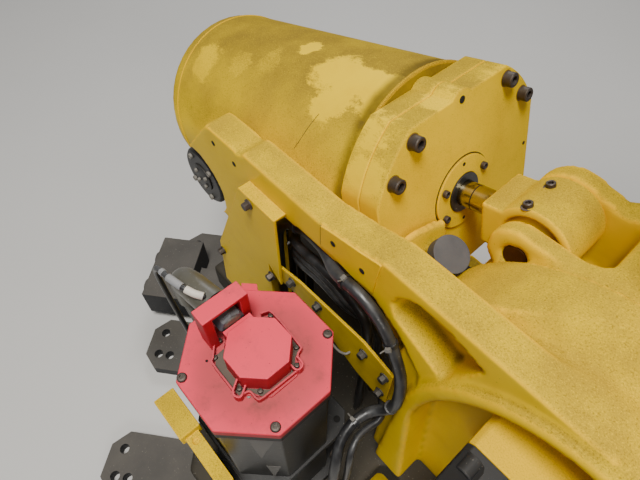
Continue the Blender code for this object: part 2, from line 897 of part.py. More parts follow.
def tan_of(angle):
    return sin(angle) / cos(angle)


def bumper_direction():
    """Square to the line from the shoulder axis, as the fork swings onto the bumper."""
    along = Vector((BUMPER_X - SHOULDER_X, 0, BUMPER_Z - SHOULDER_Z)).normalized()
    return Vector((along.z, 0, -along.x))


def stop_bumper(material):
    thing = turned(
        "stop_bumper",
        (
            (0, -BUMPER_LENGTH),
            (BUMPER_RADIUS, -BUMPER_LENGTH),
            (BUMPER_RADIUS, 0),
            (0, 0),
        ),
        material,
    )
    lay(thing, (BUMPER_X, BUMPER_Y, BUMPER_Z), bumper_direction())
    return thing


def cover_outline():
    """Lobed square of the balancer's end, in its own plane: X downwards, Y across."""
    side = acos(COVER_SIDE / COVER_CORNER_RADIUS)
    waist = asin(COVER_WAIST / COVER_CORNER_RADIUS)
    lobe_middle = COVER_WAIST + LOBE_RISE - LOBE_RADIUS
    lobe = acos((COVER_WAIST - lobe_middle) / LOBE_RADIUS)
    outline = []
    for half in (0, pi):
        turn = Matrix.Rotation(half, 2)
        quarter = [
            *arc((0, 0), COVER_CORNER_RADIUS, pi / 2 - waist, pi / 2 - side, 6),
            *arc((0, 0), COVER_CORNER_RADIUS, pi / 2 + side, pi / 2 + waist, 6),
            *arc((-lobe_middle, 0), LOBE_RADIUS, pi - lobe, pi + lobe, 6),
        ]
        outline += [tuple(turn @ Vector(point)) for point in quarter]
    return outline


def balancer_plate(name, start, thick, material):
    thing = prism(name, cover_outline(), 0, thick, "Z", material)
    balancer_place(thing, start)
    return thing


def balancer_tube(material):
    front = COVER_FACE_REACH - COVER_THICK - FLANGE_THICK - 2 * GAP
    rear = COVER_FACE_REACH - TUBE_REACH
    dome = arc((TUBE_RADIUS - TUBE_DOME, 0), TUBE_DOME, 0, pi / 2, 6)
    profile = [(0, rear)]
    profile += [(radius, rear + TUBE_DOME - depth) for radius, depth in reversed(dome)]
    profile += [(TUBE_RADIUS, front), (0, front)]
    thing = turned("balancer_tube", profile, material)
    balancer_place(thing)
    disc_back = WALL_OUTER_Y - TRUNNION_DISC_INSET - TRUNNION_DISC_THICK
    pin = wall_drill("trunnion pins", TRUNNION_PIN_RADIUS, -disc_back, disc_back)
    pads = wall_drill(
        "trunnion pads",
        TRUNNION_PAD_RADIUS,
        -WALL_INNER_Y + TRUNNION_BOSS_CLEARANCE + GAP,
        WALL_INNER_Y - GAP,
    )
    join(thing, pads, pin)
    hold(pin, thing)
    hold(pads, thing)
    return thing


def ring(name, inner, outer, start, thick, material):
    """Flat ring on the balancer's axis."""
    thing = prism(name, arc((0, 0), outer, 0, 2 * pi, ROUND_STEPS)[:-1], 0, thick, "Z", material)
    bore = prism(
        f"{name} bore",
        arc((0, 0), inner, 0, 2 * pi, ROUND_STEPS)[:-1],
        -OVERRUN,
        thick + OVERRUN,
        "Z",
    )
    cut(thing, bore)
    bore.parent = thing
    balancer_place(thing, start)
    return thing


def balancer_rod(material):
    start = COVER_FACE_REACH + GAP
    shank = BALANCER_SPAN - EYE_REACH - GAP
    thing = turned(
        "balancer_rod",
        ((0, start), (ROD_RADIUS, start), (ROD_RADIUS, shank), (0, shank)),
        material,
    )
    balancer_place(thing)
    return thing


def rod_eye(material):
    """Shank block and round eye, along the balancer's axis, with the pin's bore across it."""
    half = EYE_WIDTH / 2
    height = SHANK_HEIGHT / 2
    side = asin(height / EYE_RADIUS)
    outline = [
        (-EYE_REACH, -height),
        *arc((0, 0), EYE_RADIUS, -pi + side, pi - side, 32),
        (-EYE_REACH, height),
    ]
    thing = prism("rod_eye", outline, -half, half, "Y", material)
    thing.rotation_euler.y = -BALANCER_TILT
    thing.location = (PIN_X, 0, PIN_Z)
    bore = cylinder(
        "rod eye bore",
        PIN_RADIUS + GAP,
        (PIN_X, -EYE_WIDTH, PIN_Z),
        (PIN_X, EYE_WIDTH, PIN_Z),
        steps=SMALL_STEPS,
    )
    cut(thing, bore)
    hold(bore, thing)
    for side in (-1, 1):
        recess = cylinder(
            f"rod eye recess {side}",
            EYE_RECESS_RADIUS,
            (PIN_X, side * (half - EYE_RECESS_DEPTH), PIN_Z),
            (PIN_X, side * (half + OVERRUN), PIN_Z),
        )
        cut(thing, recess)
        hold(recess, thing)
    return thing


def arm_pin(material):
    inner = EAR_OUTER_Y - PIN_INSET
    return cylinder(
        "arm_pin",
        PIN_RADIUS,
        (PIN_X, -inner, PIN_Z),
        (PIN_X, inner, PIN_Z),
        material,
        SMALL_STEPS,
    )


def lower_arm(material):
    """Casting from the shoulder hub, with its fork for the balancer's rod, to the elbow flange."""
    elbow_z = SHOULDER_Z + ARM_LENGTH
    near = -BOSS_INNER_Y + GAP
    thing = cylinder(
        "lower_arm",
        HUB_RADIUS,
        (SHOULDER_X, near, SHOULDER_Z),
        (SHOULDER_X, HUB_FAR_Y, SHOULDER_Z),
        material,
    )
    ears = []
    for name, radius, side in (("near ear", NEAR_EAR_RADIUS, -1), ("far ear", FAR_EAR_RADIUS, 1)):
        ear = prism(
            f"arm fork {name}",
            [
                *arc((PIN_X, PIN_Z), radius, radians(80), radians(245), 14),
                (SHOULDER_X, SHOULDER_Z - HUB_RADIUS / 2),
                (SHOULDER_X, FORK_DIP_Z),
                (FORK_DIP_X, FORK_DIP_Z),
            ],
            min(side * EAR_OUTER_Y, -side * SINK),
            max(side * EAR_OUTER_Y, -side * SINK),
        )
        ears.append(ear)
    slot_y = EAR_OUTER_Y - EAR_THICK
    slot = block(
        "arm fork slot",
        (PIN_X - 2 * EYE_RADIUS, -slot_y, PIN_Z - EYE_RADIUS - EYE_CLEARANCE),
        (FORK_ROOT_X, slot_y, PIN_Z + 2 * EYE_RADIUS),
    )
    bore = cylinder(
        "arm fork bore",
        PIN_RADIUS + GAP,
        (PIN_X, -EAR_OUTER_Y - OVERRUN, PIN_Z),
        (PIN_X, EAR_OUTER_Y + OVERRUN, PIN_Z),
        steps=SMALL_STEPS,
    )
    boom = prism(
        "arm boom",
        (
            (SHOULDER_X - BOOM_REAR, SHOULDER_Z),
            (SHOULDER_X + BOOM_FRONT, SHOULDER_Z),
            (SHOULDER_X + BOOM_TOP_FRONT, elbow_z),
            (SHOULDER_X - BOOM_TOP_REAR, elbow_z),
            (SHOULDER_X - BOOM_REAR, SHOULDER_Z + HUB_RADIUS),
        ),
        near + ARM_SIDE_GAP,
        BOOM_HALF_WIDTH - ARM_SIDE_GAP,
    )
    elbow = cylinder(
        "arm elbow",
        ELBOW_RADIUS,
        (SHOULDER_X, -BOOM_HALF_WIDTH - ELBOW_FACE_RAISE, elbow_z),
        (SHOULDER_X, BOOM_HALF_WIDTH + ELBOW_FACE_RAISE, elbow_z),
    )
    elbow_bore = cylinder(
        "arm elbow bore",
        ELBOW_BORE_RADIUS,
        (SHOULDER_X, BOOM_HALF_WIDTH + ELBOW_FACE_RAISE - ELBOW_BORE_DEPTH, elbow_z),
        (SHOULDER_X, BOOM_HALF_WIDTH + ELBOW_FACE_RAISE + OVERRUN, elbow_z),
    )
    join(thing, *ears, boom, elbow)
    cut(thing, slot, bore, elbow_bore)
    helpers = [*ears, slot, bore, boom, elbow, elbow_bore]
    for side in (-1, 1):
        margin = BOOM_POCKET_MARGIN
        face = side * BOOM_HALF_WIDTH
        pocket = prism(
            f"boom pocket {side}",
            (
                (SHOULDER_X - BOOM_REAR + margin, SHOULDER_Z + HUB_RADIUS + margin),
                (SHOULDER_X + BOOM_FRONT - margin, SHOULDER_Z + HUB_RADIUS + margin),
                (SHOULDER_X + BOOM_TOP_FRONT - margin, elbow_z - ELBOW_RADIUS - margin),
                (SHOULDER_X - BOOM_TOP_REAR + margin, elbow_z - ELBOW_RADIUS - margin),
            ),
            min(face - side * BOOM_POCKET_DEPTH, face + side * OVERRUN),
            max(face - side * BOOM_POCKET_DEPTH, face + side * OVERRUN),
        )
        bevel(pocket, margin / 2, 3)
        cut(thing, pocket)
        helpers.append(pocket)
    for helper in helpers:
        hold(helper, thing)
    return thing


def shoulder_cover(material):
    """Round cap over the shoulder reducer, on the arm's far side."""
    edge = SHOULDER_COVER_THICK / 3
    thing = turned(
        "shoulder_cover",
        (
            (0, 0),
            (SHOULDER_COVER_RADIUS, 0),
            (SHOULDER_COVER_RADIUS, SHOULDER_COVER_THICK - edge),
            (SHOULDER_COVER_RADIUS - edge, SHOULDER_COVER_THICK),
            (0, SHOULDER_COVER_THICK),
        ),
        material,
    )
    lay(thing, (SHOULDER_X, HUB_FAR_Y + GAP, SHOULDER_Z), (0, 1, 0))
    return thing


def motor_piece(name, outline, start, thick, material, axis_place):
    """A prism on a motor's axis. The axis place gives the motor's foot and its direction."""
    thing = prism(name, outline, start, start + thick, "Z", material)
    lay(thing, *axis_place)
    return thing


def encoder_cap(name, base, shift, axis_place, material):
    """Octagonal cap on a wider foot, with a neck towards its connector."""
    thing = motor_piece(name, octagon(CAP_FLANGE_ACROSS, shift), base, CAP_FLANGE_THICK, material, axis_place)
    dome = motor_piece(
        f"{name} dome",
        octagon(CAP_ACROSS, shift),
        base,
        CAP_FLANGE_THICK + CAP_HEIGHT,
        None,
        axis_place,
    )
    x, y = shift
    neck = motor_piece(
        f"{name} neck",
        (
            (x - CAP_NECK_REACH, y - CAP_NECK_WIDTH / 2),
            (x, y - CAP_NECK_WIDTH / 2),
            (x, y + CAP_NECK_WIDTH / 2),
            (x - CAP_NECK_REACH, y + CAP_NECK_WIDTH / 2),
        ),
        base,
        CAP_FLANGE_THICK + CAP_HEIGHT - SINK / 2,
        None,
        axis_place,
    )
    join(thing, dome, neck)
    hold(dome, thing)
    hold(neck, thing)
    return thing


def slew_motor(paint):
    """Upright motor of the slewing axis, with its red end plate, cap and connector guard."""
    foot = DECK_TOP_Z + GAP
    place = ((SLEW_MOTOR_X, SLEW_MOTOR_Y, 0), (0, 0, 1))
    flange_top = foot + SLEW_FLANGE_THICK
    plate_z = SLEW_MOTOR_TOP_Z - MOTOR_PLATE_THICK
    motor_piece(
        "slew_motor_flange",
        chamfered_square(SLEW_FLANGE_SIDE, SLEW_FLANGE_CHAMFER),
        foot,
        SLEW_FLANGE_THICK,
        paint["dark"],
        place,
    )
    body = MOTOR_ACROSS - 2 * MOTOR_BODY_INSET
    motor_piece(
        "slew_motor_body",
        octagon(body),
        flange_top + GAP,
        plate_z - flange_top - 2 * GAP,
        paint["black"],
        place,
    )
    plate = motor_piece(
        "slew_motor_plate", octagon(MOTOR_ACROSS), plate_z, MOTOR_PLATE_THICK, paint["red"], place
    )
    bevel(plate, PLATE_EDGE_ROUND, 2)
    encoder_cap(
        "slew_encoder_cap",
        SLEW_MOTOR_TOP_Z + GAP,
        (CAP_SHIFT_X, CAP_SHIFT_Y),
        place,
        paint["red"],
    )
    bottom = SLEW_MOTOR_TOP_Z + GAP
    half_x = GUARD_WIDTH / 2
    half_y = GUARD_LENGTH / 2
    guard = block(
        "connector_guard",
        (GUARD_X - half_x, GUARD_Y - half_y, bottom),
        (GUARD_X + half_x, GUARD_Y + half_y, bottom + GUARD_HEIGHT),
        paint["red"],
    )
    gate = block(
        "connector guard opening",
        (GUARD_X - GUARD_WIDTH, GUARD_Y - half_y + GUARD_LEG, bottom - OVERRUN),
        (GUARD_X + GUARD_WIDTH, GUARD_Y + half_y - GUARD_LEG, bottom + GUARD_HEIGHT - GUARD_SHEET),
    )
    cut(guard, gate)
    hold(gate, guard)


def shoulder_motor(paint):
    """Motor of the shoulder axis inside the hood, on its yellow mount block."""
    motor_x = SHOULDER_X + ARCH_CENTRE_SHIFT
    place = ((motor_x, 0, SHOULDER_Z), (0, -1, 0))
    square = chamfered_square(SHOULDER_MOTOR_SIDE, SHOULDER_MOTOR_CHAMFER)
    start = HOLLOW_FLOOR_Y + GAP
    motor_piece(
        "shoulder_mount_block", square, start, MOUNT_BLOCK_FACE_Y - start, paint["yellow"], place
    )
    start = MOUNT_BLOCK_FACE_Y + GAP
    flange = motor_piece(
        "shoulder_motor_flange", square, start, SHOULDER_FLANGE_LENGTH, paint["dark"], place
    )
    screw_reach = SHOULDER_MOTOR_SIDE / 2 - SCREW_NOTCH_EDGE
    for x_side, z_side in ((-1, 1), (1, 1), (1, -1), (-1, -1)):
        x = motor_x + x_side * screw_reach
        z = SHOULDER_Z + z_side * screw_reach
        notch = cylinder(
            f"screw notch {x_side} {z_side}",
            SCREW_NOTCH_RADIUS,
            (x, -start - SCREW_NOTCH_FLOOR, z),
            (x, -start - SHOULDER_FLANGE_LENGTH - OVERRUN, z),
            steps=SMALL_STEPS,
        )
        mouth = block(
            f"screw notch mouth {x_side} {z_side}",
            (min(x, x + x_side * OVERRUN), -start - SHOULDER_FLANGE_LENGTH - OVERRUN, z - SCREW_NOTCH_RADIUS),
            (max(x, x + x_side * OVERRUN), -start - SCREW_NOTCH_FLOOR, z + SCREW_NOTCH_RADIUS),
        )
        cut(flange, notch, mouth)
        hold(notch, flange)
        hold(mouth, flange)
    start += SHOULDER_FLANGE_LENGTH + GAP
    body = MOTOR_ACROSS - 2 * MOTOR_BODY_INSET
    motor_piece(
        "shoulder_motor_body", octagon(body), start, SHOULDER_BODY_LENGTH, paint["black"], place
    )
    start += SHOULDER_BODY_LENGTH + GAP
    plate = motor_piece(
        "shoulder_motor_plate",
        octagon(MOTOR_ACROSS),
        start,
        MOTOR_PLATE_THICK,
        paint["red"],
        place,
    )
    bevel(plate, PLATE_EDGE_ROUND, 2)
    start += MOTOR_PLATE_THICK + GAP
    encoder_cap("shoulder_encoder_cap", start, (0, 0), place, paint["red"])


def tab_bracket(material):
    """Bent sheet over the wall's rear leg, its top edge turned back onto the wall."""
    face = -TAB_BACK_Y - SHEET
    outline = (
        (TAB_LEFT_X, TAB_TOP_Z),
        (TAB_RIGHT_X, TAB_TOP_Z),
        (TAB_RIGHT_X, TAB_NOTCH_Z),
        (TAB_RIGHT_X - TAB_NOTCH, TAB_NOTCH_Z + TAB_NOTCH),
        (TAB_RIGHT_X - TAB_NOTCH, TAB_FOOT_Z),
        (TAB_FOOT_X, TAB_FOOT_Z),
        (TAB_ELBOW_X, TAB_ELBOW_Z),
    )
    thing = prism("tab_bracket", outline, face, -TAB_BACK_Y, "Y", material)
    flange = block(
        "tab top flange",
        (TAB_LEFT_X, face, TAB_TOP_Z - SHEET),
        (TAB_RIGHT_X, -WALL_OUTER_Y - GAP, TAB_TOP_Z),
    )
    join(thing, flange)
    hold(flange, thing)
    return thing


def strip_bracket(material):
    """Sloping strip that carries the cables, between the tab bracket and the hood."""
    outline = [
        (STRIP_REAR_X + along * STRIP_LENGTH, STRIP_Z + rise * STRIP_HEIGHT)
        for along, rise in strip_shares
    ]
    return prism(
        "strip_bracket", outline, -STRIP_BACK_Y - SHEET, -STRIP_BACK_Y, "Y", material
    )


def side_bracket(material):
    """Block and drilled arm beside the slewing motor, on an upright from the deck."""
    thing = block(
        "side_bracket",
        (BLOCK_X, BLOCK_Y, BLOCK_TOP_Z - BLOCK_THICK),
        (BLOCK_X + BLOCK_LENGTH, BLOCK_Y + BLOCK_WIDTH, BLOCK_TOP_Z),
        material,
    )
    arm_y = BLOCK_Y + BLOCK_ARM_WIDTH / 4
    arm_z = BLOCK_TOP_Z - BLOCK_THICK + SINK
    arm = block(
        "side bracket arm",
        (BLOCK_X + BLOCK_LENGTH - SINK, arm_y, arm_z),
        (
            BLOCK_X + BLOCK_LENGTH + BLOCK_ARM_LENGTH,
            arm_y + BLOCK_ARM_WIDTH,
            arm_z + BLOCK_ARM_THICK,
        ),
    )
    upright = block(
        "side bracket upright",
        (BLOCK_X + BLOCK_LENGTH / 2, arm_y + SINK, DECK_TOP_Z + GAP),
        (
            BLOCK_X + BLOCK_LENGTH + BLOCK_ARM_LENGTH / 2,
            arm_y + BLOCK_ARM_WIDTH - SINK,
            arm_z + SINK,
        ),
    )
    hole_x = BLOCK_X + BLOCK_LENGTH + BLOCK_ARM_WIDTH / 2
    hole_y = arm_y + BLOCK_ARM_WIDTH / 2
    hole = cylinder(
        "side bracket hole",
        BLOCK_HOLE_DIAMETER / 2,
        (hole_x, hole_y, arm_z + BLOCK_ARM_THICK / 2),
        (hole_x, hole_y, arm_z + OVERRUN),
        steps=SMALL_STEPS,
    )
    join(thing, arm, upright)
    cut(thing, hole)
    for helper in (arm, upright, hole):
        hold(helper, thing)
    return thing


def cables(paint):
    """Cable runs between the deck, the wall's void and the motors."""
    foot = DECK_TOP_Z + GAP
    rubber = paint["rubber"]
    neck_face = SLEW_MOTOR_X + CAP_SHIFT_X - CAP_NECK_REACH - GAP
    tube(
        "cable_front",
        (
            (-0.1165, -0.1940, foot),
            (-0.1165, -0.1940, 0.480),
            (-0.1165, -0.1940, 0.655),
            (-0.1080, -0.1940, 0.712),
            (-0.0860, -0.1940, 0.742),
            (-0.0500, -0.1955, 0.762),
            (-0.0100, -0.2000, 0.7695),
            (0.0200, -0.2130, 0.7740),
            (0.0410, -0.2185, 0.7815),
            (0.0590, -0.2195, 0.7870),
            (0.0820, -0.2195, 0.7840),
            (0.1050, -0.2195, 0.7710),
            (0.1210, -0.2195, 0.7520),
            (0.1360, -0.2200, 0.7270),
            (0.1520, -0.2210, 0.6910),
            (0.1615, -0.2295, 0.6500),
            (0.1545, -0.2310, 0.6060),
            (0.1430, -0.2370, 0.5890),
            (0.1340, -0.2530, 0.5820),
            (0.1310, -0.2750, 0.5770),
            (0.1360, -0.2990, 0.5660),
            (0.1490, -0.3190, 0.5500),
            (0.1550, -0.3280, 0.5000),
            (0.1550, -0.3280, 0.430),
            (0.1550, -0.3280, foot),
        ),
        CABLE_RADIUS,
        rubber,
        2,
    )
    tube(
        "cable_slim",
        (
            (0.1150, -0.1820, foot),
            (0.1150, -0.1820, 0.480),
            (0.1160, -0.1900, 0.545),
            (0.1210, -0.2070, 0.566),
            (0.1340, -0.2190, 0.571),
            (0.1470, -0.2290, 0.572),
            (0.1510, -0.2430, 0.571),
            (0.1480, -0.2580, 0.571),
            (0.1480, -0.2790, 0.572),
            (0.1540, -0.2950, 0.569),
            (0.1600, -0.3050, 0.553),
            (0.1610, -0.3060, 0.500),
            (0.1610, -0.3060, 0.430),
            (0.1610, -0.3060, foot),
        ),
        SLIM_CABLE_RADIUS,
        rubber,
        2,
        2,
    )
    tube(
        "cable_upper",
        (
            (-0.200, -0.1120, foot),
            (-0.200, -0.1120, 0.440),
            (-0.198, -0.1180, 0.520),
            (-0.190, -0.1350, 0.580),
            (-0.172, -0.1500, 0.622),
            (-0.150, -0.1563, 0.648),
            (-0.128, -0.1565, 0.663),
            (-0.112, -0.1680, 0.672),
            (-0.094, -0.1810, 0.682),
            (-0.070, -0.1870, 0.690),
            (-0.039, -0.1870, 0.695),
            (-0.012, -0.1870, 0.694),
            (0.013, -0.1870, 0.690),
            (0.036, -0.1870, 0.683),
            (0.054, -0.1870, 0.670),
            (0.064, -0.1870, 0.650),
            (0.070, -0.1870, 0.615),
            (0.072, -0.1870, 0.560),
            (0.072, -0.1870, 0.440),
            (0.072, -0.1870, foot),
        ),
        CABLE_RADIUS,
        rubber,
        2,
    )
    tube(
        "cable_middle",
        (
            (-0.182, -0.1040, foot),
            (-0.182, -0.1040, 0.440),
            (-0.181, -0.1120, 0.512),
            (-0.176, -0.1320, 0.564),
            (-0.161, -0.1490, 0.605),
            (-0.141, -0.1563, 0.630),
            (-0.123, -0.1565, 0.645),
            (-0.109, -0.1680, 0.654),
            (-0.092, -0.1810, 0.664),
            (-0.071, -0.1870, 0.672),
            (-0.040, -0.1870, 0.677),
            (-0.013, -0.1870, 0.676),
            (0.010, -0.1870, 0.671),
            (0.030, -0.1850, 0.662),
            (0.046, -0.1780, 0.645),
            (0.058, -0.1640, 0.616),
            (0.064, -0.1500, 0.575),
            (0.066, -0.1420, 0.500),
            (0.066, -0.1420, 0.430),
            (0.066, -0.1420, foot),
        ),
        CABLE_RADIUS,
        rubber,
        2,
        2,
    )
    tube(
        "cable_rear",
        (
            (-0.164, -0.0960, foot),
            (-0.164, -0.0960, 0.430),
            (-0.164, -0.1060, 0.500),
            (-0.159, -0.1280, 0.546),
            (-0.148, -0.1480, 0.583),
            (-0.133, -0.1563, 0.610),
            (-0.119, -0.1575, 0.625),
            (-0.107, -0.1680, 0.635),
            (-0.090, -0.1810, 0.646),
            (-0.072, -0.1870, 0.654),
            (-0.041, -0.1870, 0.659),
            (-0.014, -0.1870, 0.658),
            (0.006, -0.1860, 0.651),
            (0.022, -0.1810, 0.640),
            (0.036, -0.1680, 0.620),
            (0.045, -0.1500, 0.590),
            (0.048, -0.1320, 0.545),
            (0.048, -0.1220, 0.480),
            (0.048, -0.1220, 0.430),
            (0.048, -0.1220, foot),
        ),
        CABLE_RADIUS,
        rubber,
        2,
        2,
    )
    tube(
        "power_cable",
        (
            (neck_face, -0.339, 0.755),
            (-0.031, -0.339, 0.755),
            (-0.055, -0.343, 0.755),
            (-0.084, -0.346, 0.751),
            (-0.106, -0.347, 0.737),
            (-0.115, -0.346, 0.705),
            (-0.110, -0.343, 0.640),
            (-0.098, -0.340, 0.520),
            (-0.094, -0.337, 0.430),
            (-0.094, -0.337, foot),
        ),
        POWER_CABLE_RADIUS,
        rubber,
    )
    tube(
        "tag_cable",
        (
            (-0.047, -0.3465, 0.7735),
            (-0.057, -0.3540, 0.7765),
            (-0.070, -0.3600, 0.7795),
            (-0.092, -0.3650, 0.7800),
            (-0.113, -0.3670, 0.7760),
            (-0.127, -0.3680, 0.7600),
            (-0.131, -0.3680, 0.7250),
            (-0.122, -0.3670, 0.6400),
            (-0.106, -0.3640, 0.5200),
            (-0.098, -0.3620, 0.4300),
            (-0.098, -0.3620, foot),
        ),
        TAG_CABLE_RADIUS,
        rubber,
        2,
        2,
    )


def hold(child, parent):
    """Parents without moving the child."""
    bpy.context.view_layer.update()
    place = child.matrix_world.copy()
    child.parent = parent
    child.matrix_parent_inverse = parent.matrix_world.inverted()
    child.matrix_world = place


def group_by_body():
    """Hangs every piece on one of two empties, both on the slewing axis."""
    pieces = [thing for thing in bpy.data.objects if thing.parent is None]
    empties = {}
    for name in ("base", "turret"):
        empties[name] = bpy.data.objects.new(name, None)
        bpy.context.scene.collection.objects.link(empties[name])
    for piece in pieces:
        fixed = piece.name.startswith(("anchor_plate", "base_", "slew_bearing"))
        piece.parent = empties["base" if fixed else "turret"]


def main():
    for thing in list(bpy.data.objects):
        bpy.data.objects.remove(thing, do_unlink=True)
    paint = materials()
    yellow = paint["yellow"]
    for row, side in enumerate((-1, 1)):
        for column in (-1, 0, 1):
            name = f"anchor_plate_{row * 3 + column + 2}"
            anchor_plate(name, side, column * PLATE_PITCH, paint["dark"])
    base_casting(yellow)
    centre_plate(paint["dark"])
    connector_box(paint["dark"])
    slew_bearing(paint["steel"])
    turret_deck(yellow)
    near_wall(yellow)
    far_wall(yellow)
    trunnion_cover("trunnion_cover_near", -1, paint["black"])
    trunnion_cover("trunnion_cover_far", 1, paint["black"])
    stop_bumper(paint["grey"])
    balancer_tube(yellow)
    flange_start = COVER_FACE_REACH - COVER_THICK - FLANGE_THICK - GAP
    balancer_plate("balancer_flange", flange_start, FLANGE_THICK, yellow)
    balancer_plate("balancer_cover", COVER_FACE_REACH - COVER_THICK, COVER_THICK, yellow)
    face = COVER_FACE_REACH + GAP
    ring("gland_ring", SEAL_RADIUS + GAP, GLAND_RADIUS, face, GLAND_HEIGHT, yellow)
    ring("rod_seal", ROD_RADIUS + GAP, SEAL_RADIUS, face, SEAL_HEIGHT, paint["rubber"])
    balancer_rod(paint["chrome"])
    rod_eye(yellow)
    arm_pin(paint["bronze"])
    lower_arm(yellow)
    shoulder_cover(yellow)
    slew_motor(paint)
    shoulder_motor(paint)
    tab_bracket(yellow)
    strip_bracket(yellow)
    side_bracket(yellow)
    cables(paint)
    group_by_body()


main()
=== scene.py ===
"""Looks of the robot arm's shoulder section: worn yellow castings, dusty balancer, motors, cables
and fixings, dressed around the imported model. Lengths are in metres, in the model's own frame."""

import bmesh
import bpy
from math import atan2, cos, pi, radians, sin
from mathutils import Matrix, Vector


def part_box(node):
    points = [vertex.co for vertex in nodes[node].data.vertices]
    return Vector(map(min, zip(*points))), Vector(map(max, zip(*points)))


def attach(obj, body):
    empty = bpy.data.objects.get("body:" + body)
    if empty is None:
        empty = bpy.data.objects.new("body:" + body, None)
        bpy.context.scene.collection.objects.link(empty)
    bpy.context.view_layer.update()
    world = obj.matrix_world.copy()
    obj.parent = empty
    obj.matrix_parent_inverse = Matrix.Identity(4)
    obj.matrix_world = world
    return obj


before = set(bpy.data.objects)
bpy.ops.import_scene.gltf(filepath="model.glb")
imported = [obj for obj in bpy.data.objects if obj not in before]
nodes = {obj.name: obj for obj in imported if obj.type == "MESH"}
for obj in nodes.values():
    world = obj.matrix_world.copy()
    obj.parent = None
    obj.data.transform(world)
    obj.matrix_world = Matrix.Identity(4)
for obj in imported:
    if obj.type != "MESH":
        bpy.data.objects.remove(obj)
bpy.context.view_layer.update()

# Camera: where the photograph was taken from, its tilt below level and its turn about the vertical
IMAGE_WIDTH = 640
FOCAL_PIXELS = 500
SENSOR = 36
CAMERA_PLACE = Vector((0.249, -0.436, 1.27))
CAMERA_DOWN = radians(54.0)
CAMERA_TURN = radians(41.6)

# Axes of the machine, and the middle of the outer face of each motor's red plate
SHOULDER = Vector((0.312, 0, 0.670))
TRUNNION = Vector((-0.296, 0, 0.673))
PIN = Vector((0.160, 0, 0.804))
ELBOW = Vector((0.312, 0, 1.745))
SLEW_MOTOR = Vector((0.028, -0.337, 0.7253))
SHOULDER_MOTOR = Vector((0.338, -0.4959, 0.670))

# Directions
EAST = Vector((1, 0, 0))
NEAR = Vector((0, -1, 0))
FAR = Vector((0, 1, 0))
UP = Vector((0, 0, 1))
TILT = atan2(PIN.z - TRUNNION.z, PIN.x - TRUNNION.x)
ALONG = Vector((cos(TILT), 0, sin(TILT)))
DIP = Vector((sin(TILT), 0, -cos(TILT)))
BASE_TURN = radians(40)

# Measures of the pieces that the fixings sit on
COVER_REACH = 0.352
GLAND_PROUD = 0.0033
TUBE_RADIUS = 0.1530
WALL_FACE = -0.209
ELBOW_HALF_WIDTH = 0.090
FLANGE_HALF = 0.088
CAP_SHIFT = (0.006, 0.001)


# Finishes


class Socket:
    """A shader socket that takes part in sums."""

    def __init__(self, finish, link):
        self.finish = finish
        self.link = link

    def maths(self, operation, first, second):
        return self.finish.add("Math", {"operation": operation}, {0: first, 1: second})

    def __add__(self, other):
        return self.maths("ADD", self, other)

    def __radd__(self, other):
        return self.maths("ADD", other, self)

    def __sub__(self, other):
        return self.maths("SUBTRACT", self, other)

    def __rsub__(self, other):
        return self.maths("SUBTRACT", other, self)

    def __mul__(self, other):
        return self.maths("MULTIPLY", self, other)

    def __rmul__(self, other):
        return self.maths("MULTIPLY", other, self)

    def between(self, low, high):
        """0 up to low, 1 from high on, and smooth in between."""
        return self.finish.add(
            "MapRange",
            {"interpolation_type": "SMOOTHSTEP"},
            {"Value": self, "From Min": low, "From Max": high},
        )


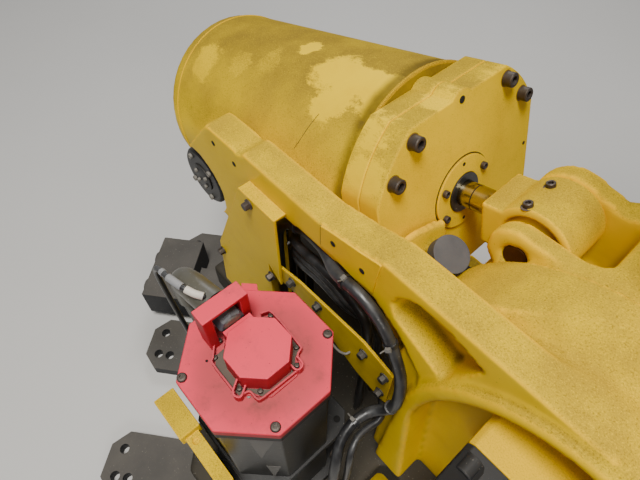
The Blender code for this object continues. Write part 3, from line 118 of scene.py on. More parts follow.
class Finish:
    """A material, and the nodes that feed its shader."""

    def __init__(self, name):
        self.material = bpy.data.materials.new(name)
        self.material.use_nodes = True
        self.tree = self.material.node_tree
        self.shader = self.tree.nodes["Principled BSDF"]
        self.place = self.add("TexCoord", {}, {}, "Object")

    def add(self, kind, settings, sockets, output=0):
        """A node of one kind. Its settings come first, then the values or links of its sockets."""
        node = self.tree.nodes.new("ShaderNode" + kind)
        for name, value in settings.items():
            setattr(node, name, value)
        for name, value in sockets.items():
            self.feed(node.inputs[name], value)
        return Socket(self, node.outputs[output])

    def feed(self, socket, value):
        if isinstance(value, Socket):
            self.tree.links.new(value.link, socket)
        else:
            socket.default_value = value

    def constant(self, name, value):
        """A value of the shader that is the same all over the surface."""
        self.shader.inputs[name].default_value = value

    def noise(self, scale, detail, roughness, place=None):
        sockets = {"Vector": place or self.place, "Scale": scale, "Detail": detail, "Roughness": roughness}
        return self.add("TexNoise", {}, sockets)

    def mix(self, factor, first, second):
        return self.add("Mix", {"data_type": "RGBA"}, {0: factor, 6: first, 7: second}, 2)

    def grained(self, x, y, z):
        """The place in the balancer's own directions, scaled along (x) and across its axis (y, z)."""
        sockets = {"Vector": self.place, "Rotation": (0, TILT, 0), "Scale": (x, y, z)}
        return self.add("Mapping", {}, sockets)

    def away_from(self, place):
        return self.add("VectorMath", {"operation": "DISTANCE"}, {0: self.place, 1: place}, "Value")

    def upward(self):
        """1 on a face that looks straight up, 0 on an upright one."""
        normal = self.add("NewGeometry", {}, {}, "Normal")
        return self.add("SeparateXYZ", {}, {0: normal}, "Z")

    def edges(self, radius):
        """1 along a sharp edge and in a sharp corner, 0 on a flat face."""
        rounded = self.add("Bevel", {"samples": 4}, {"Radius": radius})
        plain = self.add("NewGeometry", {}, {}, "Normal")
        alike = self.add("VectorMath", {"operation": "DOT_PRODUCT"}, {0: rounded, 1: plain}, "Value")
        return (1 - alike).between(0.005, 0.10)

    def ridges(self):
        """How far the skin of a casting bulges, and how far it is hollow, each from 0 to 1."""
        bulge = self.add("NewGeometry", {}, {}, "Pointiness")
        return bulge.between(0.512, 0.56), bulge.between(0.488, 0.44)

    def finish(self, colour, roughness, height, bump_depth, bump_strength, rounding=0):
        """Feeds the shader. Rounding is the radius by which edges are shaded round."""
        sockets = {"Height": height, "Distance": bump_depth, "Strength": bump_strength}
        if rounding:
            sockets["Normal"] = self.add("Bevel", {"samples": 4}, {"Radius": rounding})
        self.feed(self.shader.inputs["Base Color"], colour)
        self.feed(self.shader.inputs["Roughness"], roughness)
        self.feed(self.shader.inputs["Normal"], self.add("Bump", {}, sockets))
        return self.material


def shade(red, green, blue):
    """A colour given by its sRGB values from 0 to 255, as the shader takes it."""
    parts = []
    for value in (red, green, blue):
        share = value / 255
        parts.append(share / 12.92 if share <= 0.04045 else ((share + 0.055) / 1.055) ** 2.4)
    return (*parts, 1)


def wiped(f, rubbed):
    """How bare of dust the paint is, from the place, reach and strength of each rubbed patch."""
    bare = 0.0
    if rubbed:
        streaks = f.noise(1.0, 6, 0.72, f.grained(17, 34, 40))
    for place, reach, strength in rubbed:
        patch = (f.away_from(place) + (streaks - 0.5) * 0.085).between(reach, reach * 0.45) * strength
        bare = patch + bare - patch * bare
    return bare


def joint_shade_and_grime(f, middle, up, joint):
    """Dark band on the tube behind a joint of the balancer, given by its reach from the trunnion:
    painted shade where the joint shades the tube, with grime.
    """
    reach = f.add("VectorMath", {"operation": "DOT_PRODUCT"}, {0: f.place, 1: ALONG}, "Value")
    start = TRUNNION.dot(ALONG) + joint
    band = (reach + (middle - 0.5) * 0.014).between(start - 0.030, start - 0.012)
    return band * up.between(-0.6, 0.1) * (0.5 + middle * 0.6)


def yellow_paint(name, dust_share, brown_share=0.2, rubbed=(), casting=True, joint=0, oil=0):
    """Yellow machine paint under khaki dust on the faces that look up. Rubbed lists patches where
    the dust has been wiped off. Ridges of a casting and edges of any other piece carry less dust and
    a painted highlight; a casting's hollows get painted shade with grime, and faces that look down
    get painted shade. Joint is the reach along the balancer of a joint, behind which lies a band of
    painted shade with grime, and oil is the share of a darker film of oil and painted shade."""
    f = Finish(name)
    f.constant("Specular IOR Level", 0.09)
    f.constant("Specular Tint", (1, 0.70, 0.10, 1))
    wide = f.noise(3.4, 3, 0.55)
    middle = f.noise(15, 4, 0.6)
    grain = f.noise(620, 2, 0.7)
    up = f.upward()
    ridge, hollow = f.ridges() if casting else (f.edges(0.003), 0.0)

    clean = f.mix(wide, shade(236, 196, 0), shade(250, 211, 0))
    clean = f.mix(middle.between(0.45, 0.8) * 0.45, clean, shade(222, 176, 0))

    density = up.between(0.02, 0.72) * (dust_share + (wide - 0.5) * 0.7 + (middle - 0.5) * 0.5)
    density = density * (1 - wiped(f, rubbed) * 0.95) * (1 - ridge * 0.55)
    dust = f.mix(middle.between(0.3, 0.7), shade(212, 178, 22), shade(188, 156, 40))
    brown = brown_share * up.between(0.62, 0.98) * (0.35 + middle * 0.9)
    dust = f.mix(brown, dust, shade(128, 106, 44))
    dust = f.mix(grain.between(0.54, 0.70) * 0.5, dust, shade(96, 76, 22))
    dust = f.mix(grain.between(0.44, 0.30) * 0.5, dust, shade(232, 196, 24))
    speckle = (grain - 0.5) * 0.8 * density.between(0.02, 0.3)
    colour = f.mix((density + speckle).between(0.10, 0.80), clean, dust)

    if joint:
        # Band of painted shade with grime behind the joint.
        colour = f.mix(joint_shade_and_grime(f, middle, up, joint), colour, shade(92, 76, 34))
    # Painted shade with grime in a casting's hollows.
    colour = f.mix(hollow * 0.75, colour, shade(104, 76, 12))
    shaded = up.between(0.15, -0.6) * (0.35 + middle * 0.55)
    colour = f.mix(shaded, colour, shade(112, 74, 0))
    if oil:
        # Darker patches of oil and painted shade.
        colour = f.mix((wide * 0.7 + middle * 0.6) * oil, colour, shade(74, 60, 12))
    chips = f.noise(190, 2, 0.5).between(0.73, 0.76) * wide.between(0.42, 0.60)
    colour = f.mix(chips * 0.6, colour, shade(60, 48, 26))
    # Painted highlight along ridges and edges.
    colour = f.mix(ridge * 0.75, colour, shade(252, 196, 0))

    rough = 0.36 + density * 0.45 + grain * 0.10
    height = middle * 0.6 + grain * 0.22 + f.noise(85, 3, 0.6) * 0.35 - chips * 0.4
    return f.finish(colour, rough, height, 0.0013, 0.5, 0 if casting else 0.001)


def dark_metal(name, dark, light, rough, dust_share, metallic=0.1):
    """Dark iron or black paint with grey dust on its upper faces."""
    f = Finish(name)
    f.constant("Specular IOR Level", 0.3)
    f.constant("Metallic", metallic)
    wide = f.noise(9, 4, 0.6)
    grain = f.noise(260, 2, 0.7)
    up = f.upward()
    colour = f.mix(wide, dark, light)
    dusty = up.between(0.2, 0.9) * dust_share * (0.35 + wide)
    colour = f.mix(dusty, colour, shade(128, 122, 112))
    colour = f.mix(grain.between(0.66, 0.74) * 0.5, colour, shade(158, 150, 138))
    edge = f.edges(0.0025)
    colour = f.mix(edge * 0.25 * wide, colour, shade(120, 116, 110))
    height = grain * 0.3 + f.noise(90, 3, 0.55) * 0.5
    return f.finish(colour, rough + dusty * 0.3 + wide * 0.1, height, 0.0006, 0.4, 0.0012)


def red_plastic():
    """Red moulded plastic, paler where it looks up, with painted shade on its sides, a painted highlight
    along its edges and dirt round the cap. The skirt of the slew motor's plate is black below its rim."""
    f = Finish("red moulded plastic")
    f.constant("Specular IOR Level", 0.25)
    wide = f.noise(11, 4, 0.55)
    grain = f.noise(380, 2, 0.6)
    up = f.upward()
    colour = f.mix(wide, shade(196, 34, 50), shade(176, 26, 40))
    # Painted shade on faces that look sideways and down.
    colour = f.mix(up.between(0.4, -0.2) * 0.35, colour, shade(120, 16, 22))
    high = f.add("SeparateXYZ", {}, {"Vector": f.place}, "Z")
    rim = SLEW_MOTOR.z
    skirt = high.between(rim - 0.0113, rim - 0.0128) * high.between(rim - 0.0303, rim - 0.0293)
    colour = f.mix(skirt, colour, shade(16, 12, 11))
    # Paler tone on faces that look up.
    upper_tone = f.mix(wide, shade(238, 70, 92), shade(228, 58, 80))
    colour = f.mix(up.between(0.3, 0.95), colour, upper_tone)
    away = f.away_from(SLEW_MOTOR + Vector((*CAP_SHIFT, 0)))
    round_cap = (away + (wide - 0.5) * 0.05).between(0.092, 0.052) * high.between(rim + 0.0167, rim + 0.0067)
    smudges = f.noise(24, 5, 0.65).between(0.50, 0.78)
    dirty = up.between(0.3, 0.9) * (smudges * 0.45 + round_cap * 0.50)
    colour = f.mix(dirty, colour, shade(122, 78, 72))
    colour = f.mix(grain.between(0.70, 0.76) * 0.6, colour, shade(92, 42, 46))
    edge = f.edges(0.002)
    # Painted highlight along the edges.
    colour = f.mix(edge * 0.35, colour, shade(240, 100, 120))
    return f.finish(colour, 0.46 + wide * 0.12 + dirty * 0.4, grain, 0.0003, 0.35, 0.0012)


def chromed_steel():
    """Chromed rod, tinted olive-brown and darker in patches as a painted reflection, with fine rings from the
    seal.
    """
    f = Finish("chromed rod steel")
    f.constant("Metallic", 1)
    fine = f.noise(1.0, 3, 0.6, f.grained(420, 6, 6))
    wide = f.noise(26, 3, 0.5)
    # Painted reflection: olive-brown tint and darker patches.
    colour = f.mix(wide, shade(196, 186, 150), shade(128, 116, 84))
    colour = f.mix(f.noise(60, 4, 0.6).between(0.55, 0.72) * 0.8, colour, shade(70, 58, 34))
    return f.finish(colour, 0.13 + fine * 0.14 + wide * 0.08, fine, 0.0002, 0.3)


def brown_steel():
    """Bare steel gone brown in the pin's bore."""
    f = Finish("pin steel gone brown")
    f.constant("Metallic", 0.75)
    wide = f.noise(55, 4, 0.6)
    colour = f.mix(wide, shade(104, 70, 40), shade(64, 44, 30))
    return f.finish(colour, 0.38 + wide * 0.25, f.noise(300, 2, 0.5), 0.0003, 0.4, 0.001)


def bolt_steel():
    """Blackened screws, dusty and rubbed on their crowns."""
    f = Finish("blackened screw steel")
    f.constant("Metallic", 0.65)
    wide = f.noise(85, 4, 0.6)
    up = f.upward()
    colour = f.mix(wide, shade(58, 50, 46), shade(92, 80, 74))
    colour = f.mix(up.between(0.3, 0.9) * 0.45, colour, shade(96, 90, 82))
    edge = f.edges(0.0012)
    colour = f.mix(edge * 0.35, colour, shade(134, 126, 118))
    return f.finish(colour, 0.42 + wide * 0.2, f.noise(500, 2, 0.5), 0.0002, 0.4, 0.0006)


def cable_rubber(name, dark, light, dust_share):
    """Black sheathing, grey along its upper side with scuffs and a painted sheen."""
    f = Finish(name)
    f.constant("Specular IOR Level", 0.55)
    wide = f.noise(22, 4, 0.6)
    grain = f.noise(320, 2, 0.6)
    up = f.upward()
    colour = f.mix(wide, dark, light)
    # Grey scuffs with a painted sheen on the upper side.
    scuffs_and_sheen = up.between(-0.1, 0.9) * wide.between(0.38, 0.72) * dust_share
    colour = f.mix(scuffs_and_sheen, colour, shade(84, 85, 86))
    colour = f.mix(grain.between(0.68, 0.76) * 0.6, colour, shade(150, 146, 140))
    return f.finish(colour, 0.28 + scuffs_and_sheen * 0.30 + wide * 0.1, grain + wide, 0.0004, 0.3)


def plain_plastic(name, dark, light, rough, dust_share=0.3):
    """Matt plastic or grime, mottled between two shades and a little dusty on top."""
    f = Finish(name)
    wide = f.noise(30, 4, 0.6)
    grain = f.noise(300, 2, 0.6)
    up = f.upward()
    colour = f.mix(wide, dark, light)
    colour = f.mix(up.between(0.2, 0.9) * dust_share * wide, colour, shade(150, 142, 128))
    colour = f.mix(grain.between(0.70, 0.78) * 0.5, colour, shade(60, 56, 50))
    return f.finish(colour, rough + wide * 0.15, grain, 0.0004, 0.35, 0.001)


def floor_paint():
    """Pale, faintly mottled floor of the studio."""
    f = Finish("pale studio floor")
    wide = f.noise(1.6, 3, 0.5)
    grain = f.noise(60, 3, 0.6)
    colour = f.mix(wide, shade(206, 205, 202), shade(214, 213, 210))
    return f.finish(colour, 0.62 + grain * 0.08, grain, 0.0003, 0.2)


casting_paint = yellow_paint("yellow casting paint", 0.72)
arm_paint = yellow_paint("yellow arm paint", 0.74, 0.3)
balancer_paint = yellow_paint(
    "yellow balancer paint",
    1.05,
    0.85,
    rubbed=(
        ((-0.165, -0.040, 0.866), 0.052, 1.0),
        ((-0.122, -0.048, 0.874), 0.050, 1.0),
        ((-0.075, -0.050, 0.886), 0.046, 1.0),
        ((-0.136, -0.084, 0.853), 0.040, 1.0),
        ((-0.251, -0.015, 0.844), 0.024, 1.0),
        ((-0.345, -0.076, 0.797), 0.036, 0.5),
        ((-0.293, -0.055, 0.822), 0.040, 0.45),
        ((-0.438, -0.087, 0.763), 0.050, 0.7),
        ((-0.037, -0.101, 0.867), 0.036, 0.9),
    ),
    casting=False,
    joint=0.288,
)
cover_paint = yellow_paint(
    "yellow cover paint",
    0.80,
    0.5,
    rubbed=(
        ((-0.030, -0.095, 0.868), 0.036, 1.0),
        ((-0.010, -0.130, 0.846), 0.036, 0.9),
        ((-0.015, -0.020, 0.902), 0.034, 0.7),
        ((0.010, 0.070, 0.915), 0.040, 0.6),
    ),
    casting=False,
)
sheet_paint = yellow_paint("yellow sheet paint", 0.55, casting=False)
# The cable strip's paint is darkened by oil and painted shade.
strip_paint = yellow_paint("paint of the cable strip darkened by oil and painted shade", 0.55, casting=False, oil=0.6)
machined_paint = yellow_paint("yellow paint on machined pads", 0.30, 0.1, casting=False)
base_paint = yellow_paint("yellow base paint", 0.95, 0.95)
# Painted shade and oil make the turret deck near black.
deck_shade_and_oil = dark_metal("deck paint darkened by oil and painted shade", shade(18, 17, 13), shade(52, 46, 30), 0.6, 0.16)
dark_iron = dark_metal("dark floor iron", shade(34, 35, 38), shade(54, 55, 58), 0.55, 0.45)
flange_iron = dark_metal("grey motor flange iron", shade(22, 24, 27), shade(36, 39, 43), 0.42, 0.10)
motor_black = dark_metal("black motor paint", shade(9, 8, 5), shade(20, 18, 12), 0.30, 0.15, 0)
cover_black = dark_metal("black cover paint", shade(18, 18, 20), shade(32, 32, 34), 0.38, 0.2, 0.2)
bearing_steel = dark_metal("oiled bearing steel", shade(96, 92, 88), shade(130, 124, 116), 0.3, 0.2, 0.9)
red = red_plastic()
chrome = chromed_steel()
pin_brown = brown_steel()
screw_steel = bolt_steel()
hose_black = cable_rubber("hose sheathing", shade(26, 26, 27), shade(44, 44, 46), 0.75)
seal_black = cable_rubber("seal rubber", shade(20, 20, 22), shade(34, 34, 36), 0.2)
olive_boot = cable_rubber("olive connector boot", shade(70, 68, 58), shade(98, 95, 82), 0.7)
buffer_grey = plain_plastic("grey buffer face", shade(54, 58, 68), shade(70, 74, 84), 0.55)
connector_grey = plain_plastic("grey connector plastic", shade(62, 66, 74), shade(82, 86, 94), 0.45)
tag_white = plain_plastic("pale cable tag", shade(206, 200, 188), shade(226, 220, 208), 0.5)
# Near black: the painted shade at the bottom of holes and pockets, and dark groove lines.
hole_dark = plain_plastic("dark of a hole", shade(12, 11, 10), shade(22, 20, 18), 0.8, 0.0)
worn_seat = plain_plastic("paint rubbed off round a screw", shade(150, 112, 18), shade(96, 74, 26), 0.6)
grimy_hollow = plain_plastic("grime in a hollow", shade(92, 76, 66), shade(60, 50, 44), 0.85)
black_screw = dark_metal("blackened screw heads", shade(24, 23, 22), shade(50, 47, 43), 0.45, 0.3)
pale_screw = plain_plastic("dusty screw heads", shade(96, 94, 90), shade(132, 128, 120), 0.5)
machined_steel = dark_metal("machined elbow ring", shade(120, 118, 114), shade(150, 147, 142), 0.28, 0.1, 0.9)
facet_grey = plain_plastic("dusty grey facet", shade(84, 82, 80), shade(104, 102, 98), 0.6)
pale_plug = plain_plastic("pale grey lead end", shade(120, 122, 126), shade(150, 152, 156), 0.45)
tie_pale = plain_plastic("grey tie heads", shade(84, 84, 82), shade(118, 116, 112), 0.5)


# Making pieces


def piece(name, build, finish, body="turret", smooth=True):
    """An object whose mesh is what the builder leaves in a new bmesh. It rides on a body, if given."""
    built = bmesh.new()
    build(built)
    bmesh.ops.recalc_face_normals(built, faces=built.faces)
    mesh = bpy.data.meshes.new(name)
    built.to_mesh(mesh)
    built.free()
    if smooth:
        mesh.shade_smooth()
        mesh.set_sharp_from_angle(angle=radians(35))
    thing = bpy.data.objects.new(name, mesh)
    bpy.context.scene.collection.objects.link(thing)
    mesh.materials.append(finish)
    if body:
        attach(thing, body)
    return thing


def facing(place, direction, roll=0):
    """The frame of a fixing: its seat's place, with Z along the way that it looks."""
    turn = UP.rotation_difference(Vector(direction)).to_matrix().to_4x4()
    return Matrix.Translation(Vector(place)) @ turn @ Matrix.Rotation(roll, 4, "Z")


def stack(built, at, levels, steps=24):
    """Rings of (radius, height, sides) stacked along Z. Sides 0 is round, any other a polygon."""
    rings = []
    for radius, height, sides in levels:
        ring = []
        for step in range(steps):
            turn = 2 * pi * step / steps
            reach = radius
            if sides:
                wedge = 2 * pi / sides
                reach = radius * cos(wedge / 2) / cos(turn % wedge - wedge / 2)
            ring.append(built.verts.new(at @ Vector((reach * cos(turn), reach * sin(turn), height))))
        rings.append(ring)
    for lower, upper in zip(rings, rings[1:]):
        for step in range(steps):
            after = (step + 1) % steps
            built.faces.new((lower[step], lower[after], upper[after], upper[step]))
    built.faces.new(rings[0])
    built.faces.new(rings[-1])


def socket_head(built, place, direction, radius, height, roll):
    """Cylinder head with a hexagon socket."""
    edge = radius * 0.12
    key = radius * 0.60
    stack(
        built,
        facing(place, direction, roll),
        (
            (radius, 0, 0),
            (radius, height - edge, 0),
            (radius - edge, height, 0),
            (key * 1.12, height, 0),
            (key, height - edge / 2, 6),
            (key, height * 0.45, 6),
        ),
    )


def hex_head(built, place, direction, radius, height, roll):
    """Hexagon head on its washer."""
    at = facing(place, direction, roll)
    thin = height * 0.22
    stack(built, at, ((radius * 1.25, 0, 0), (radius * 1.25, thin, 0)))
    lift = at @ Matrix.Translation((0, 0, thin))
    stack(built, lift, ((radius, 0, 6), (radius, height * 0.85, 6), (radius * 0.86, height, 0)))


def dome_head(built, place, direction, radius, height, roll):
    """Low round head with a hexagon socket."""
    key = radius * 0.45
    stack(
        built,
        facing(place, direction, roll),
        (
            (radius, 0, 0),
            (radius * 0.96, height * 0.45, 0),
            (radius * 0.80, height * 0.85, 0),
            (key * 1.15, height, 0),
            (key, height, 6),
            (key, height * 0.35, 6),
        ),
    )


def hole_mark(built, place, direction, radius):
    """Mouth of a drilled hole, as a thin disc; in the near-black finish it is the painted shade of the hole's
    bottom.
    """
    rings = ((radius, 0, 0), (radius, 0.0004, 0), (radius * 0.85, 0.0006, 0))
    stack(built, facing(place, direction), rings, 20)


def group(name, kind, places, direction, size, finish, body="turret"):
    """Fixings of one kind and size as one piece. Size holds the radius and, for a head, the height."""

    def build(built):
        for number, place in enumerate(places):
            roll = () if kind is hole_mark else (0.7 * number,)
            kind(built, place, direction, *size, *roll)

    piece(name, build, finish, body)


def prism(built, outline, depth, at):
    """A flat outline in X and Y, extruded along Z."""
    near = [built.verts.new(at @ Vector((x, y, 0))) for x, y in outline]
    far = [built.verts.new(at @ Vector((x, y, depth))) for x, y in outline]
    built.faces.new(near)
    built.faces.new(far)
    for step in range(len(outline)):
        after = (step + 1) % len(outline)
        built.faces.new((near[step], near[after], far[after], far[step]))


def block(built, low, high):
    """An upright box between two corners."""
    corners = ((low[0], low[1]), (high[0], low[1]), (high[0], high[1]), (low[0], high[1]))
    prism(built, corners, high[2] - low[2], Matrix.Translation((0, 0, low[2])))


def smooth_route(points, steps=8):
    """Catmull-Rom points through the given ones."""
    given = [Vector(point) for point in points]
    padded = [2 * given[0] - given[1], *given, 2 * given[-1] - given[-2]]
    route = []
    for before, start, end, after in zip(padded, padded[1:], padded[2:], padded[3:]):
        for step in range(steps):
            t = step / steps
            first = 2 * start + (end - before) * t
            second = (2 * before - 5 * start + 4 * end - after) * t**2
            third = (3 * start - before - 3 * end + after) * t**3
            route.append((first + second + third) / 2)
    route.append(given[-1])
    return route


def sweep(built, route, radius, sides):
    """A round tube along a route. Radius is one number, or one for each point."""
    radii = radius if isinstance(radius, list) else [radius] * len(route)
    side = UP if abs((route[1] - route[0]).normalized().z) < 0.9 else EAST
    rings = []
    for number, place in enumerate(route):
        ahead = route[min(number + 1, len(route) - 1)] - route[max(number - 1, 0)]
        ahead.normalize()
        side = (side - side.dot(ahead) * ahead).normalized()
        third = ahead.cross(side)
        turns = [2 * pi * step / sides for step in range(sides)]
        reach = radii[number]
        rings.append([built.verts.new(place + reach * (cos(t) * side + sin(t) * third)) for t in turns])
    for lower, upper in zip(rings, rings[1:]):
        for step in range(sides):
            after = (step + 1) % sides
            built.faces.new((lower[step], lower[after], upper[after], upper[step]))
    built.faces.new(rings[0])
    built.faces.new(rings[-1])


def on_balancer(reach):
    """The place on the balancer's axis at a reach from the trunnion."""
    return TRUNNION + ALONG * reach


def ring_places(centre, first, second, radius, turns):
    """Places round a centre, in the plane of two directions, at turns given in degrees."""
    return [
        centre + first * (radius * cos(radians(turn))) + second * (radius * sin(radians(turn)))
        for turn in turns
    ]


def four_places(centre, first, second):
    """The corners of a rectangle, given by its centre and the ways from there to its sides."""
    return [centre + first * x + second * y for x in (-1, 1) for y in (-1, 1)]


def paint(names, finish):
    """Gives the nodes of the model one finish."""
    for name in names:
        node = nodes[name]
        node.data.materials.clear()
        node.data.materials.append(finish)


def modifier(thing, kind, **settings):
    """Adds a modifier of one kind with its settings."""
    step = thing.modifiers.new(kind.lower(), kind)
    for name, value in settings.items():
        setattr(step, name, value)


def cast_skin(name, voxel, passes):
    """Gives a casting's node the soft edges and filled corners of cast iron."""
    node = nodes[name]
    modifier(node, "WELD", merge_threshold=0.00001)
    modifier(node, "REMESH", mode="VOXEL", voxel_size=voxel, use_smooth_shade=True)
    modifier(node, "SMOOTH", factor=0.5, iterations=passes)


def crisp_edges(name, width, segments=3):
    """Rounds the edges of a machined or bent piece by a small radius."""
    node = nodes[name]
    node.data.shade_smooth()
    modifier(node, "WELD", merge_threshold=0.00001)
    modifier(node, "DECIMATE", decimate_type="DISSOLVE", angle_limit=radians(1))
    modifier(node, "BEVEL", width=width, segments=segments, limit_method="ANGLE", angle_limit=radians(32))
    modifier(node, "WEIGHTED_NORMAL", keep_sharp=True)


# Camera, light and floor


def make_camera():
    """The camera that took the photograph, with its picture's middle on its axis."""
    data = bpy.data.cameras.new("camera")
    camera = bpy.data.objects.new("camera", data)
    bpy.context.scene.collection.objects.link(camera)
    data.sensor_width = SENSOR
    data.lens = FOCAL_PIXELS / IMAGE_WIDTH * SENSOR
    data.clip_start = 0.01
    level = Vector((-cos(CAMERA_TURN), sin(CAMERA_TURN), 0))
    right = Vector((sin(CAMERA_TURN), cos(CAMERA_TURN), 0))
    ahead = cos(CAMERA_DOWN) * level - sin(CAMERA_DOWN) * UP
    above = sin(CAMERA_DOWN) * level + cos(CAMERA_DOWN) * UP
    turn = Matrix((right, above, -ahead)).transposed().to_4x4()
    camera.matrix_world = Matrix.Translation(CAMERA_PLACE) @ turn
    bpy.context.scene.camera = camera


def area_light(name, place, aim, size, power, colour):
    data = bpy.data.lights.new(name, "AREA")
    data.shape = "DISK"
    data.size = size
    data.energy = power
    data.color = colour
    light = bpy.data.objects.new(name, data)
    bpy.context.scene.collection.objects.link(light)
    light.matrix_world = facing(place, Vector(place) - Vector(aim))


def make_studio():
    world = bpy.data.worlds.new("studio")
    world.use_nodes = True
    sky = world.node_tree.nodes["Background"].inputs
    sky["Color"].default_value = (0.90, 0.93, 0.96, 1)
    sky["Strength"].default_value = 0.14
    bpy.context.scene.world = world
    area_light("ceiling light", (0.45, -0.9, 3.9), (0, 0, 0.7), 1.1, 146, (1, 0.97, 0.92))
    area_light("side light", (3.2, -1.4, 2.6), (0, 0, 0.7), 1.4, 32, (1, 0.95, 0.88))
    area_light("rear light", (-2.4, 2.4, 3.2), (0, 0, 0.6), 1.6, 52, (0.96, 0.97, 1))

    def build(built):
        block(built, (-9, -9, -0.02), (9, 9, -0.0004))

    floor = piece("studio_floor", build, floor_paint(), None, smooth=False)


# Pieces


def dress_castings():
    paint(("near_wall", "far_wall", "rod_eye"), casting_paint)
    paint(("turret_deck",), deck_shade_and_oil)
    paint(("lower_arm", "shoulder_cover", "shoulder_mount_block"), arm_paint)
    paint(("base_casting",), base_paint)
    cast_skin("near_wall", 0.0038, 4)
    cast_skin("far_wall", 0.0050, 4)
    cast_skin("turret_deck", 0.0060, 3)
    cast_skin("lower_arm", 0.0050, 5)
    cast_skin("rod_eye", 0.0020, 6)
    cast_skin("base_casting", 0.0070, 4)
    for name in ("shoulder_cover", "shoulder_mount_block"):
        crisp_edges(name, 0.002)


def dress_balancer():
    paint(("balancer_tube",), balancer_paint)
    paint(("balancer_flange", "balancer_cover", "gland_ring"), cover_paint)
    paint(("balancer_rod",), chrome)
    paint(("rod_seal",), seal_black)
    paint(("arm_pin",), pin_brown)
    paint(("trunnion_cover_near", "trunnion_cover_far"), cover_black)
    paint(("stop_bumper",), buffer_grey)
    crisp_edges("balancer_tube", 0.003)
    crisp_edges("balancer_flange", 0.0018)
    crisp_edges("balancer_cover", 0.0025)
    for name in ("gland_ring", "rod_seal", "balancer_rod", "arm_pin", "stop_bumper"):
        crisp_edges(name, 0.0006, 2)
    for name in ("trunnion_cover_near", "trunnion_cover_far"):
        crisp_edges(name, 0.0012, 2)


def cover_fixings():
    """Bolts and holes of the balancer's cover and of its gland ring."""
    centre = on_balancer(COVER_REACH)
    bolt_circle = 0.1485
    half_pair = 9.8
    turns = [90 * corner + 45 + side * half_pair for corner in range(4) for side in (-1, 1)]
    bolts = ring_places(centre, DIP, FAR, bolt_circle, turns)
    group("cover_bolts", socket_head, bolts, ALONG, (0.0093, 0.0125), screw_steel)
    seats = [place - ALONG * 0.0004 for place in bolts]
    group("cover_bolt_seats", hole_mark, seats, ALONG, (0.0108,), worn_seat)
    gland = on_balancer(COVER_REACH + GLAND_PROUD)
    screws = four_places(gland, DIP * 0.021, FAR * 0.0385)
    group("gland_screws", socket_head, screws, ALONG, (0.0052, 0.0058), screw_steel)
    holes = [gland + DIP * down for down in (-0.044, 0.044)]
    group("gland_holes", hole_mark, holes, ALONG, (0.0026,), hole_dark)
    group("cover_eyebolt_hole", hole_mark, [centre - DIP * 0.1326], ALONG, (0.0048,), hole_dark)
    marks = [centre + FAR * 0.139, centre - FAR * 0.139, centre + DIP * 0.132]
    group("cover_holes", hole_mark, marks, ALONG, (0.0028,), hole_dark)

    def outline_groove(built):
        places = ring_places(centre + ALONG * 0.0001, DIP, FAR, 0.0534, range(0, 361, 5))
        sweep(built, places, 0.0008, 6)

    piece("gland_outline", outline_groove, hole_dark)


def tube_seams():
    """Weld seams round the balancer's tube, and the line scribed along it."""

    def seams(built):
        for reach, radius, thick in ((0.286, TUBE_RADIUS, 0.0024), (-0.165, TUBE_RADIUS - 0.0003, 0.0016)):
            ring = ring_places(on_balancer(reach), DIP, FAR, radius, range(0, 361, 4))
            sweep(built, ring, thick, 8)

    piece("tube_seams", seams, balancer_paint)

    def scribe(built):
        places = (
            (-0.146, -0.133, 0.796), (-0.142, -0.125, 0.810),
            (-0.139, -0.113, 0.826), (-0.135, -0.097, 0.8425),
        )
        route = []
        for place in smooth_route(places):
            out = place - TRUNNION
            out -= ALONG * out.dot(ALONG)
            route.append(place + out.normalized() * (TUBE_RADIUS + 0.0001 - out.length))
        sweep(built, route, 0.00035, 6)

    piece("tube_scribe_line", scribe, grimy_hollow)


def rod_details():
    """The groove in the balancer's rod, and the two bolts of its eye."""

    before_cover = 0.024

    def groove(built):
        at = facing(on_balancer(COVER_REACH + before_cover), ALONG)
        stack(built, at, ((0.01765, 0, 0), (0.01765, 0.0014, 0)), 36)

    piece("rod_groove", groove, hole_dark)
    lift = Vector((-0.43, 0, 0.90)).normalized()
    places = [Vector((0.1375, y, 0.8455)) for y in (-0.030, 0.014)]
    group("eye_bolts", socket_head, places, lift, (0.0058, 0.0070), screw_steel)
    seats = [place + lift * 0.0006 for place in places]
    group("eye_bolt_seats", hole_mark, seats, lift, (0.0085,), grimy_hollow)


def trunnion_fixings():
    """Screws, studs and hub of the cap over each end of the balancer's trunnion."""
    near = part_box("trunnion_cover_near")[0].y
    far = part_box("trunnion_cover_far")[1].y
    for name, depth, side in (("near", near, -1), ("far", far, 1)):
        centre = Vector((TRUNNION.x, depth, TRUNNION.z))
        outer = ring_places(centre, EAST, UP, 0.0385, (47, 130, 293, 220))
        group(f"trunnion_screws_{name}", socket_head, outer, FAR * side, (0.0048, 0.0042), pale_screw)
        inner = ring_places(centre, EAST, UP, 0.0155, (150, 228, 304, 30))
        group(f"trunnion_studs_{name}", hex_head, inner, FAR * side, (0.0036, 0.0050), pale_screw)

        def hub(built, centre=centre, side=side):
            at = facing(centre, FAR * side)
            stack(built, at, ((0.0245, 0, 0), (0.0245, 0.0016, 0), (0.0225, 0.0022, 0)), 32)

        piece(f"trunnion_hub_{name}", hub, cover_black)


